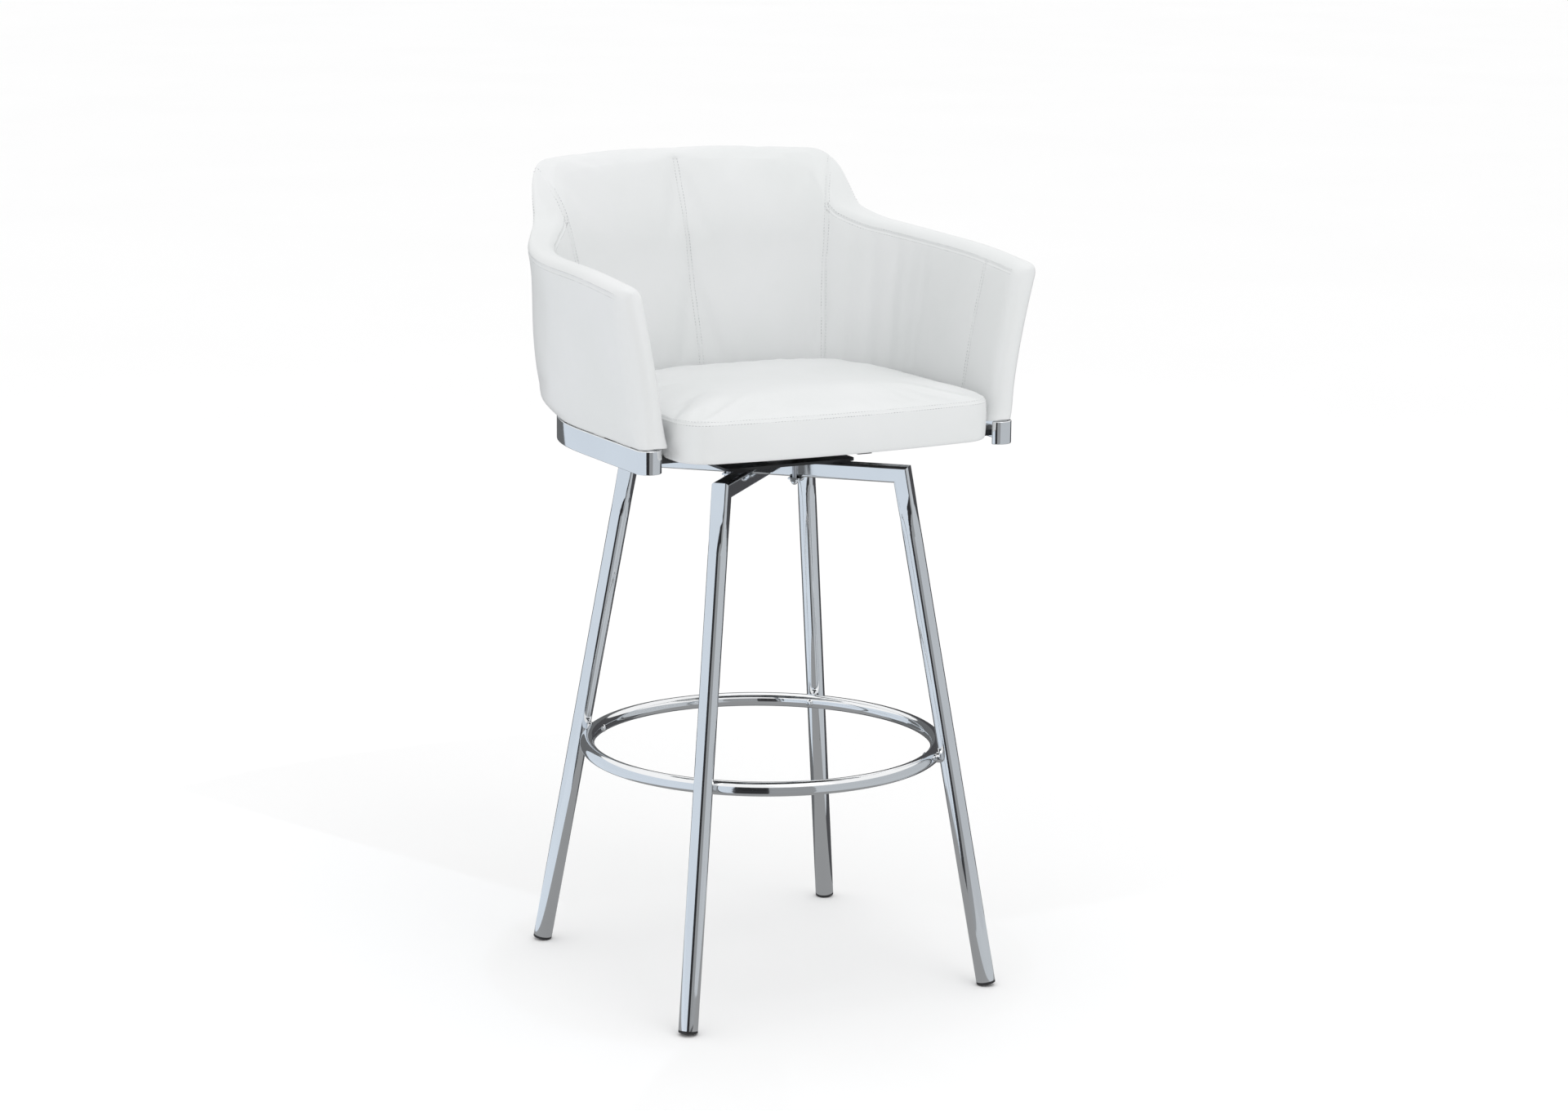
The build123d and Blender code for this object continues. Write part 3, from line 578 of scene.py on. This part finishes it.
def sew(name, seams, piece, material, body="seat"):
    """Double rows of stitches beside each seam, as one plain mesh."""
    size = bpy.context.scene.stool_stitch
    surface = surface_of(piece)
    points, edges, lifts = [], [], []
    for seam, closed in seams:
        for aside in (-size.apart, size.apart):
            places, normals = offset_row(seam, aside, closed, surface, size.thick * 0.15)
            start = len(points)
            points += places
            lifts += normals
            edges += [(start + i, start + i + 1) for i in range(len(places) - 1)]
            if closed:
                edges.append((start + len(places) - 1, start))
    piece = run_of_copies(name, points, edges, lifts, size, material)
    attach(piece, body)


def run_of_copies(name, points, edges, lifts, size, material):
    """Stitches along the edges, each lying flat to the way given at its point."""
    mesh = bpy.data.meshes.new(name)
    mesh.from_pydata([tuple(p) for p in points], edges, [])
    lift = mesh.attributes.new("lift", "FLOAT_VECTOR", "POINT")
    lift.data.foreach_set("vector", np.array([tuple(n) for n in lifts], float).ravel())
    piece = bpy.data.objects.new(name, mesh)
    bpy.context.scene.collection.objects.link(piece)
    modifier = piece.modifiers.new("row", "NODES")
    tree = bpy.data.node_groups["stitch_row"]
    modifier.node_group = tree
    values = {"Pitch": size.pitch, "Long": size.long, "Thick": size.thick, "Seed": size.seed,
              "Material": material}
    for item in tree.interface.items_tree:
        if item.in_out == "INPUT" and item.name in values:
            modifier[item.identifier] = values[item.name]
    baked(piece)
    if len(piece.data.polygons) == 0:
        raise RuntimeError(name + " made no stitches")
    piece.data.shade_smooth()
    return piece


# ---- shell -----------------------------------------------------------------------------------------
def tight(values, seams, reach):
    """Adds a close pair of lines beside each seam, and drops any others that crowd it."""
    kept = [v for v in values if all(abs(v - seam) > 1.8 * reach for seam in seams)]
    for seam in seams:
        kept += [seam - reach, seam, seam + reach]
    return sorted(kept)


def shell_stations(size):
    """Plan stations from the left arm's front round the back to the right arm's front."""
    front = SHELL_LOW.y - SWIVEL_Y
    rounding = [front + size.front * (1 - math.cos(math.radians(a))) for a in (0, 22, 45, 68, 90)]
    straight = list(np.linspace(front + size.front, SIDE_STRAIGHT_Y, 24))[1:-1]
    arm = rounding + tight(straight, [size.arm_seam], ARM_SEAM_REACH)
    corner = size.corner_seam
    back_seams = [corner, math.pi / 2, math.pi - corner]
    back = tight(list(np.linspace(0, math.pi, 116)), back_seams, BACK_SEAM_REACH)
    stations = [("left", y) for y in arm]
    stations += [("back", angle) for angle in back]
    stations += [("right", y) for y in reversed(arm)]
    return stations


def shell_profile(size):
    """Outer half of the shell's section: (how it is measured, height value, inwards from the outside)."""
    foot, corner = size.foot, size.corner
    profile = [("low", 0.0, SECTION_MIDDLE), ("low", 0.0, 12 * MM)]
    for angle in (90, 60, 30, 0):
        turn = math.radians(angle)
        profile.append(("low", foot * (1 - math.cos(math.pi / 2 - turn)), foot * (1 - math.cos(turn))))
    profile += [("wall", share, 0.0) for share in np.linspace(0.03, 0.98, 30)]
    for angle in ROLL_ANGLES:
        turn = math.radians(angle)
        kind = "seam" if angle == SEAM_ANGLE else "top"
        profile.append((kind, corner * (1 - math.sin(turn)), corner * (1 - math.cos(turn))))
    profile.append(("top", -0.5 * MM, SECTION_MIDDLE))
    return profile


def shell_ring(station, profile, size, front_y):
    """Closed section at one station: the outer half upwards, then the inner half downwards."""
    rise0 = SHELL_LOW.z - BAND_HIGH.z
    pulled = 0.0
    if station[0] != "back":
        from_front = station[1] - front_y
        if from_front < size.front:
            pulled = size.front - math.sqrt(size.front**2 - (size.front - from_front) ** 2)
    outer, inner = shell_wall(station, 0.1)
    wall = float(np.linalg.norm(outer - inner))
    ring = []
    for mirrored in (False, True):
        order = reversed(profile) if mirrored else profile
        for kind, value, inward in order:
            share = (pulled + inward * (wall - 2 * pulled) / wall) / wall
            share = 1 - share if mirrored else share
            top = shell_top(station, share) - FRONT_DROP * pulled
            low = rise0 + FRONT_LIFT * pulled
            if kind == "low":
                rise = low + value
            elif kind == "wall":
                rise = low + size.foot + value * (top - size.corner - low - size.foot)
            else:
                rise = top - value
            ring.append((*shell_point(station, rise, share), BAND_HIGH.z + rise))
    return ring


def build_shell(size, material):
    """The shell's mesh, with its stations, its profile and the points round each section."""
    stations = shell_stations(size)
    profile = shell_profile(size)
    front_y = SHELL_LOW.y - SWIVEL_Y
    rings = [shell_ring(station, profile, size, front_y) for station in stations]
    points = np.array(rings)
    columns, around = points.shape[:2]
    faces = []
    for c in range(columns - 1):
        for r in range(around):
            after = (r + 1) % around
            faces.append((c * around + r, c * around + after, (c + 1) * around + after, (c + 1) * around + r))
    half = around // 2
    for start, flip in ((0, True), ((columns - 1) * around, False)):
        for r in range(half - 1):
            quad = (start + r, start + r + 1, start + around - 2 - r, start + around - 1 - r)
            faces.append(quad[::-1] if flip else quad)
    shell = make_piece("barrel_upholstery", points.reshape(-1, 3), faces, material)
    check_outward(shell)
    return shell, stations, profile, around


def shell_seams(stations, profile, around, size):
    """Vertex numbers along each seam."""
    seam_row = next(i for i, entry in enumerate(profile) if entry[0] == "seam")
    outer_row, inner_row = seam_row, around - 1 - seam_row

    def columns_at(on_back, *places):
        return [i for i, (kind, value) in enumerate(stations)
                if (kind == "back") == on_back and min(abs(value - place) for place in places) < 1e-6]

    corner_at = columns_at(True, size.corner_seam, math.pi - size.corner_seam)
    middle_at = columns_at(True, math.pi / 2)
    arm_at = columns_at(False, size.arm_seam)
    begin = FIRST_SEAM_COLUMN
    last = len(stations) - 1 - begin
    outer_top = [i * around + outer_row for i in range(begin, last + 1)]
    left_inner = [i * around + inner_row for i in range(begin, corner_at[0] + 1)]
    right_inner = [i * around + inner_row for i in range(corner_at[-1], last + 1)]
    tip_rows = range(outer_row, inner_row + 1)
    seams = [outer_top, left_inner, right_inner]
    inner_rows = range(inner_row, around - 1 - FIRST_WALL_ROW)
    outer_rows = range(FIRST_WALL_ROW, outer_row + 1)
    seams += [[i * around + r for r in inner_rows] for i in middle_at + corner_at + arm_at]
    seams += [[i * around + r for r in outer_rows] for i in corner_at]
    seams += [[i * around + r for r in tip_rows] for i in corner_at]
    return seams


def pull_in(piece, seams, depth):
    """Sinks the seams' points into the piece."""
    mesh = piece.data
    points, normals = read_points(mesh), read_normals(mesh)
    chosen = sorted({index for seam in seams for index in seam})
    points[chosen] -= normals[chosen] * depth
    write_points(mesh, points)


# ---- cushion ------------------------------------------------------------------------------------------
def cushion_outline(count, inset):
    """Evenly spaced plan points of the cushion, from the middle of its front edge, clockwise from above."""
    half = CUSHION_HIGH.x - inset
    rear = CUSHION_HIGH.y - SWIVEL_Y - inset
    front = CUSHION_LOW.y - SWIVEL_Y + CUSHION_BOW + inset
    corner = CUSHION_CORNER - inset
    dense = []
    for x in np.linspace(0, -(half - corner), 40):
        dense.append((x, front - CUSHION_BOW * (1 - (x / (half - corner)) ** 2)))
    for angle in np.linspace(0, 90, 24)[1:]:
        turn = math.radians(angle)
        dense.append((-(half - corner) - corner * math.sin(turn), front + corner - corner * math.cos(turn)))
    for y in np.linspace(front + corner, SIDE_STRAIGHT_Y, 20)[1:-1]:
        dense.append((-half, y))
    for angle in np.linspace(0, math.pi / 2, 60):
        dense.append(tuple(barrel_point(half, rear, CUSHION_EXPONENT, angle)))
    dense = np.array(dense)
    mirrored = dense[::-1][1:-1] * (-1, 1)
    loop = np.vstack([dense, mirrored, dense[:1]])
    run = np.concatenate([[0], np.cumsum(np.linalg.norm(np.diff(loop, axis=0), axis=1))])
    wanted = np.linspace(0, run[-1], count, endpoint=False)
    return np.stack([np.interp(wanted, run, loop[:, i]) for i in (0, 1)], 1)


def square_cells(cells):
    """Grid places, each with its reach from the middle and its place round the edge, 0 to 1."""
    places = {}
    for i in range(cells + 1):
        for j in range(cells + 1):
            a, b = 2 * i / cells - 1, 2 * j / cells - 1
            reach = max(abs(a), abs(b))
            if reach == 0:
                places[i, j] = (0.0, 0.0)
            elif b == -reach:
                places[i, j] = (reach, (-a / reach) / 8 % 1)
            elif a == -reach:
                places[i, j] = (reach, (b / reach + 2) / 8)
            elif b == reach:
                places[i, j] = (reach, (a / reach + 4) / 8)
            else:
                places[i, j] = (reach, (6 - b / reach) / 8)
    return places


def build_cushion(size, material):
    """The cushion's mesh, its welt seam's points and the points under the board."""
    cells = CUSHION_CELLS
    edge_count = 4 * cells
    swollen = size.cushion_swell * 0.5
    low = CUSHION_LOW.z
    welt = size.welt
    rows = [                       # height over the underside, and inset
        (0.3 * MM, 4.5 * MM), (1.6 * MM, 1.6 * MM), (5 * MM, 0.2 * MM), (12 * MM, 0.0),
        (20 * MM, -0.4 * MM), (28 * MM, -0.6 * MM), (36 * MM, -0.5 * MM), (43 * MM, -0.2 * MM),
        (welt - 3 * MM, 0.2 * MM), (welt - 1.5 * MM, 0.5 * MM), (welt, 0.9 * MM),
        (welt + 1.5 * MM, 1.4 * MM), (welt + 3.5 * MM, 2.4 * MM),
    ]
    outline = {inset: cushion_outline(edge_count, swollen + inset) for _, inset in rows}
    points = []
    for height, inset in rows:
        points += [(x, y, low + height) for x, y in outline[inset]]
    top_edge = outline[rows[-1][1]]
    under_edge = outline[rows[0][1]]
    middle = np.array((0.0, np.mean(top_edge[:, 1])))
    rise = CUSHION_HIGH.z - swollen - (low + rows[-1][0])
    places = square_cells(cells)
    sheets = []
    for edge, top_side in ((top_edge, True), (under_edge, False)):
        numbers = {}
        for key, (reach, around) in places.items():
            if reach > 1 - 1e-9:
                column = int(round(around * edge_count)) % edge_count
                numbers[key] = column + ((len(rows) - 1) * edge_count if top_side else 0)
                continue
            at = around * edge_count
            first = int(at) % edge_count
            mix = at - int(at)
            rim = edge[first] * (1 - mix) + edge[(first + 1) % edge_count] * mix
            x, y = middle + (rim - middle) * reach
            z = low + rows[-1][0] + rise * math.sqrt(1 - reach**4) if top_side else low + 0.2 * MM
            numbers[key] = len(points)
            points.append((x, y, z))
        sheets.append(numbers)
    faces = []
    for r in range(len(rows) - 1):
        for c in range(edge_count):
            after = (c + 1) % edge_count
            faces.append((r * edge_count + c, (r + 1) * edge_count + c, (r + 1) * edge_count + after,
                          r * edge_count + after))
    for numbers, top_side in zip(sheets, (True, False)):
        for i in range(cells):
            for j in range(cells):
                quad = (numbers[i, j], numbers[i + 1, j], numbers[i + 1, j + 1], numbers[i, j + 1])
                faces.append(quad if top_side else quad[::-1])
    cushion = make_piece("seat_pad", points, faces, material)
    check_outward(cushion)
    welt_row = next(i for i, row in enumerate(rows) if row[0] == welt)
    seam = [welt_row * edge_count + c for c in range(edge_count)]
    under = list(range(edge_count)) + list(sheets[1].values())
    return cushion, seam, under


def tuck_under(cushion, inset, board_low, hem_low):
    """Keeps the cover's hem above the cushion's lowest level, and lifts the cover inside it into the board."""
    mesh = cushion.data
    points = read_points(mesh)
    inner = cushion_outline(240, inset)
    ring = [Vector((x, y + SWIVEL_Y, 0)) for x, y in inner]
    reach = [(p.xy - Vector((0, SWIVEL_Y))).length for p in ring]
    angles = [math.atan2(p.y - SWIVEL_Y, p.x) for p in ring]
    order = np.argsort(angles)
    angles, reach = np.array(angles)[order], np.array(reach)[order]
    low = points[:, 2] < board_low + TUCK_REACH
    angle = np.arctan2(points[:, 1] - SWIVEL_Y, points[:, 0])
    limit = np.interp(angle, angles, reach, period=2 * math.pi)
    inside = np.hypot(points[:, 0], points[:, 1] - SWIVEL_Y) < limit
    points[low & inside, 2] = board_low + TUCK_LIFT
    edge = low & ~inside
    points[edge, 2] = np.maximum(points[edge, 2], hem_low)
    write_points(mesh, points)


# ---- chrome band -----------------------------------------------------------------------------------------
def band_route(size):
    """Middle line of the band from the left return's end round the back to the right one's."""
    thickness = size.thickness
    half, rear = BAND_HALF - thickness / 2, BAND_REAR - thickness / 2
    centre_x = BAND_HALF - size.hook
    radius = size.hook - thickness / 2
    left = []
    for turn in np.linspace(size.hook_sweep, 0, 30):
        left.append((-(centre_x + radius * math.cos(turn)), size.hook_y - radius * math.sin(turn)))
    left += [(-half, y) for y in np.linspace(size.hook_y, SIDE_STRAIGHT_Y, 10)[1:-1]]
    back = [tuple(barrel_point(half, rear, BAND_EXPONENT, angle)) for angle in np.linspace(0, math.pi, 140)]
    right = [(-x, y) for x, y in reversed(left)]
    return np.array(left + back + right)


def bar_section(thickness, height, edge):
    """Points of the bar's rounded rectangle, across and up."""
    section = []
    for across, up in ((1, 1), (-1, 1), (-1, -1), (1, -1)):
        centre = (across * (thickness / 2 - edge), up * (height / 2 - edge))
        start = {(1, 1): 0, (-1, 1): 90, (-1, -1): 180, (1, -1): 270}[across, up]
        for angle in (0, 22, 45, 68, 90):
            turn = math.radians(start + angle)
            section.append((centre[0] + edge * math.cos(turn), centre[1] + edge * math.sin(turn)))
    return section


def build_band(size, material):
    """The band's mesh: its section swept along its route."""
    route = band_route(size)
    height = BAND_HIGH.z - BAND_LOW.z
    middle_z = (BAND_HIGH.z + BAND_LOW.z) / 2
    section = bar_section(size.thickness, height, size.edge)
    count = len(section)
    tangents = np.gradient(route, axis=0)
    tangents /= np.linalg.norm(tangents, axis=1, keepdims=True)
    points = []
    for (x, y), (tx, ty) in zip(route, tangents):
        for across, up in section:
            points.append((x - ty * across, y + tx * across, middle_z + up))
    faces = []
    for i in range(len(route) - 1):
        for j in range(count):
            after = (j + 1) % count
            faces.append((i * count + j, i * count + after, (i + 1) * count + after, (i + 1) * count + j))
    faces.append(tuple(range(count)))
    faces.append(tuple((len(route) - 1) * count + j for j in reversed(range(count))))
    band = make_piece("polished_band", points, faces, material)
    check_outward(band)
    return band


# ---- operators ------------------------------------------------------------------------------------------
class STOOL_OT_finishes(bpy.types.Operator):
    """Makes every finish and puts it on the carried-over pieces"""
    bl_idname = "stool.finishes"
    bl_label = "Finishes"

    def execute(self, context):
        finish = context.scene.stool_finish
        mottle_group()
        grain_group()
        stitch_tree()
        finish_material("white_cover", finish.leather, finish.leather_deep, (0.36, 0.46), 7.0,
                        (1100.0, 3200.0, 0.4), (0.16, 0.25 * MM), coat=0.06)
        finish_material("thread", finish.thread, finish.leather, (0.6, 0.75), 60.0,
                        (2500.0, 6000.0, 0.5), (0.3, 0.1 * MM))
        chrome = finish_material("polished_chrome", finish.chrome, tuple(c * 0.97 for c in finish.chrome),
                                 (0.045, 0.085), 9.0, (60.0, 260.0, 0.6), (0.012, 0.2 * MM), metallic=1.0)
        paint = finish_material("satin_black", finish.paint, tuple(c * 1.6 for c in finish.paint),
                                (0.34, 0.46), 25.0, (700.0, 1800.0, 0.5), (0.2, 0.2 * MM))
        plastic = finish_material("moulded_black", finish.plastic, tuple(c * 1.5 for c in finish.plastic),
                                  (0.42, 0.55), 60.0, (1800.0, 4000.0, 0.5), (0.25, 0.1 * MM))
        steel = finish_material("zinc_steel", (0.60, 0.60, 0.62), (0.50, 0.51, 0.54), (0.24, 0.42), 90.0,
                                (900.0, 2400.0, 0.6), (0.1, 0.1 * MM), metallic=1.0)
        nylon = finish_material("natural_nylon", (0.72, 0.68, 0.56), (0.66, 0.62, 0.50), (0.45, 0.6), 50.0,
                                (1500.0, 3000.0, 0.5), (0.15, 0.1 * MM))
        birch = plywood_material("birch_plywood", (0.60, 0.42, 0.25), (0.40, 0.25, 0.13))
        board = plywood_material("black_stained_plywood", (0.035, 0.033, 0.032), (0.015, 0.014, 0.014))
        by_node = {n: steel for n in frame["nodes"]}
        for names, material in ((CHROME_NODES, chrome), (PAINTED_NODES, paint), (GLIDE_NODES, plastic),
                                (["shell_rim"], birch), (["seat_board"], board), (["ball_cage"], nylon)):
            by_node.update({n: material for n in names})
        for name, node in frame["nodes"].items():
            if name in REPLACED_NODES:
                continue
            for place in node.material_slots:
                place.material = by_node[name]
            if not node.material_slots:
                raise RuntimeError(name + " has no material slot")
        return {"FINISHED"}


class STOOL_OT_band(bpy.types.Operator):
    """Makes the polished band with its rounded edges"""
    bl_idname = "stool.band"
    bl_label = "Chrome band"

    def execute(self, context):
        band = build_band(context.scene.stool_band, bpy.data.materials["polished_chrome"])
        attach(band, "seat")
        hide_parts("chrome_band")
        return {"FINISHED"}


class STOOL_OT_shell(bpy.types.Operator):
    """Makes the padded barrel shell with its seams and stitches"""
    bl_idname = "stool.shell"
    bl_label = "Barrel shell"

    def execute(self, context):
        size = context.scene.stool_upholstery
        shell, stations, profile, around = build_shell(size, bpy.data.materials["white_cover"])
        seams = shell_seams(stations, profile, around, size)
        low_rows = (*range(FIRST_WALL_ROW + 1), *range(around - FIRST_WALL_ROW - 1, around))
        under = [column * around + row for column in range(len(stations)) for row in low_rows]
        held = {index for seam in seams for index in seam} | set(under)
        swell(shell, sorted(held), size.shell_swell)
        lines = [(read_points(shell.data)[seam], False) for seam in seams]
        pull_in(shell, seams, size.groove)
        subdivided(shell)
        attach(shell, "seat")
        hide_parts("barrel_shell")
        sew("shell_stitches", lines, shell, bpy.data.materials["thread"])
        return {"FINISHED"}


class STOOL_OT_cushion(bpy.types.Operator):
    """Makes the seat cushion with its welt seam and stitches"""
    bl_idname = "stool.cushion"
    bl_label = "Seat cushion"

    def execute(self, context):
        size = context.scene.stool_upholstery
        cushion, seam, under = build_cushion(size, bpy.data.materials["white_cover"])
        swell(cushion, sorted(set(seam) | set(under)), size.cushion_swell)
        line = read_points(cushion.data)[seam]
        pull_in(cushion, [seam], size.groove)
        tuck_under(cushion, UNDER_HEM, BOARD_LOW.z, CUSHION_LOW.z)
        subdivided(cushion)
        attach(cushion, "seat")
        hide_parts("seat_cushion")
        sew("cushion_stitches", [(line, True)], cushion, bpy.data.materials["thread"])
        return {"FINISHED"}


class STOOL_OT_stage(bpy.types.Operator):
    """Makes the floor, the lights and the camera"""
    bl_idname = "stool.stage"
    bl_label = "Stage"

    def execute(self, context):
        scene, stage = context.scene, context.scene.stool_stage
        half = stage.floor / 2
        floor_material = finish_material("pale_floor", (0.955, 0.955, 0.955), (0.945, 0.945, 0.945),
                                         (0.75, 0.85), 1.0, (20.0, 60.0, 0.5), (0.02, 0.1 * MM))
        floor = make_piece("floor", [(-half, -half, 0), (half, -half, 0), (half, half, 0), (-half, half, 0)],
                           [(0, 1, 2, 3)], floor_material, smooth=False)
        world = bpy.data.worlds.new("studio")
        world.use_nodes = True
        world.node_tree.nodes["Background"].inputs["Color"].default_value = (1.0, 1.0, 1.0, 1)
        world.node_tree.nodes["Background"].inputs["Strength"].default_value = WORLD_STRENGTH
        scene.world = world
        scene.view_settings.view_transform = "Standard"
        for name, place, size, power in LAMPS:
            lamp = bpy.data.lights.new(name, "AREA")
            lamp.size = size
            lamp.energy = power
            light = bpy.data.objects.new(name, lamp)
            light.location = place
            light.rotation_euler = (Vector(LAMP_AIM) - Vector(place)).to_track_quat("-Z", "Y").to_euler()
            scene.collection.objects.link(light)
        self.reflected_cards(math.atan2(stage.camera_place[1], stage.camera_place[0]))
        camera = bpy.data.objects.new("camera", bpy.data.cameras.new("camera"))
        camera.data.lens = stage.lens
        camera.data.sensor_width = 36.0
        camera.data.clip_end = 100.0
        turn = Matrix.Rotation(stage.heading, 4, "Z") @ Matrix.Rotation(math.pi / 2 + stage.tilt, 4, "X")
        place = Vector(stage.camera_place) + Vector((0, SWIVEL_Y, 0))
        camera.matrix_world = Matrix.Translation(place) @ turn @ Matrix.Rotation(stage.roll, 4, "Z")
        scene.collection.objects.link(camera)
        scene.camera = camera
        return {"FINISHED"}

    def reflected_cards(self, facing):
        """Glowing cards close round the stool that only reflections see: the chrome shows their tones as
        painted reflections.
        """
        cards = [(start, end, (CARD_START, CARD_REACH), tone) for start, end, tone in CARDS]
        cards.append((0, 360, (0.0, CARD_START), UNDER_TONE))
        for number, (start, end, (near, far), tone) in enumerate(cards):
            card_material = finish_material(f"card_{number}", (0, 0, 0), (0, 0, 0), (0.9, 0.95), 1.0,
                                            (20.0, 60.0, 0.5), (0.01, 0.1 * MM))
            shader = next(n for n in card_material.node_tree.nodes if n.type == "BSDF_PRINCIPLED")
            # the card glows with its tone only to paint light and dark into the chrome's reflections; it is no
            # lamp
            shader.inputs["Emission Color"].default_value = (*tone, 1)
            shader.inputs["Emission Strength"].default_value = 1.0
            points, faces = [], []
            count = max(2, int((end - start) / CARD_STEP))
            turns = [facing + math.radians(angle) for angle in np.linspace(start, end, count)]
            for turn in turns:
                way = Vector((math.cos(turn), math.sin(turn), 0))
                lift = Vector((0, 0, MM))
                rise = Vector((0, 0, CARD_HEIGHT if far == CARD_REACH else UNDER_RISE))
                points += [way * near + lift, way * far + lift, way * far + rise]
            for i in range(0, 3 * (len(turns) - 1), 3):
                faces += [(i, i + 1, i + 4, i + 3), (i + 1, i + 2, i + 5, i + 4)]
            card = make_piece(f"card_{number}", points, faces, card_material, smooth=False)
            card.visible_camera = False
            card.visible_diffuse = False
            card.visible_shadow = False


class STOOL_PT_panel(bpy.types.Panel):
    """Lists the stool's sizes and the steps that make it."""
    bl_label = "Stool"
    bl_idname = "STOOL_PT_panel"
    bl_space_type = "VIEW_3D"
    bl_region_type = "UI"
    bl_category = "Stool"

    def draw(self, context):
        for operator in OPERATORS:
            self.layout.operator(operator.bl_idname)
        for name, group in GROUPS.items():
            box = self.layout.box()
            box.label(text=group.__doc__)
            for field in group.__annotations__:
                box.prop(getattr(context.scene, name), field)


OPERATORS = (STOOL_OT_finishes, STOOL_OT_band, STOOL_OT_shell, STOOL_OT_cushion, STOOL_OT_stage)


def register():
    for item in (*GROUPS.values(), *OPERATORS, STOOL_PT_panel):
        bpy.utils.register_class(item)
    for name, group in GROUPS.items():
        setattr(bpy.types.Scene, name, PointerProperty(type=group))


def unregister():
    for name in GROUPS:
        delattr(bpy.types.Scene, name)
    for item in (STOOL_PT_panel, *reversed(OPERATORS), *reversed(list(GROUPS.values()))):
        bpy.utils.unregister_class(item)


def main():
    register()
    bpy.ops.stool.finishes()
    bpy.ops.stool.band()
    bpy.ops.stool.shell()
    bpy.ops.stool.cushion()
    bpy.ops.stool.stage()


if __name__ == "__main__":
    main()
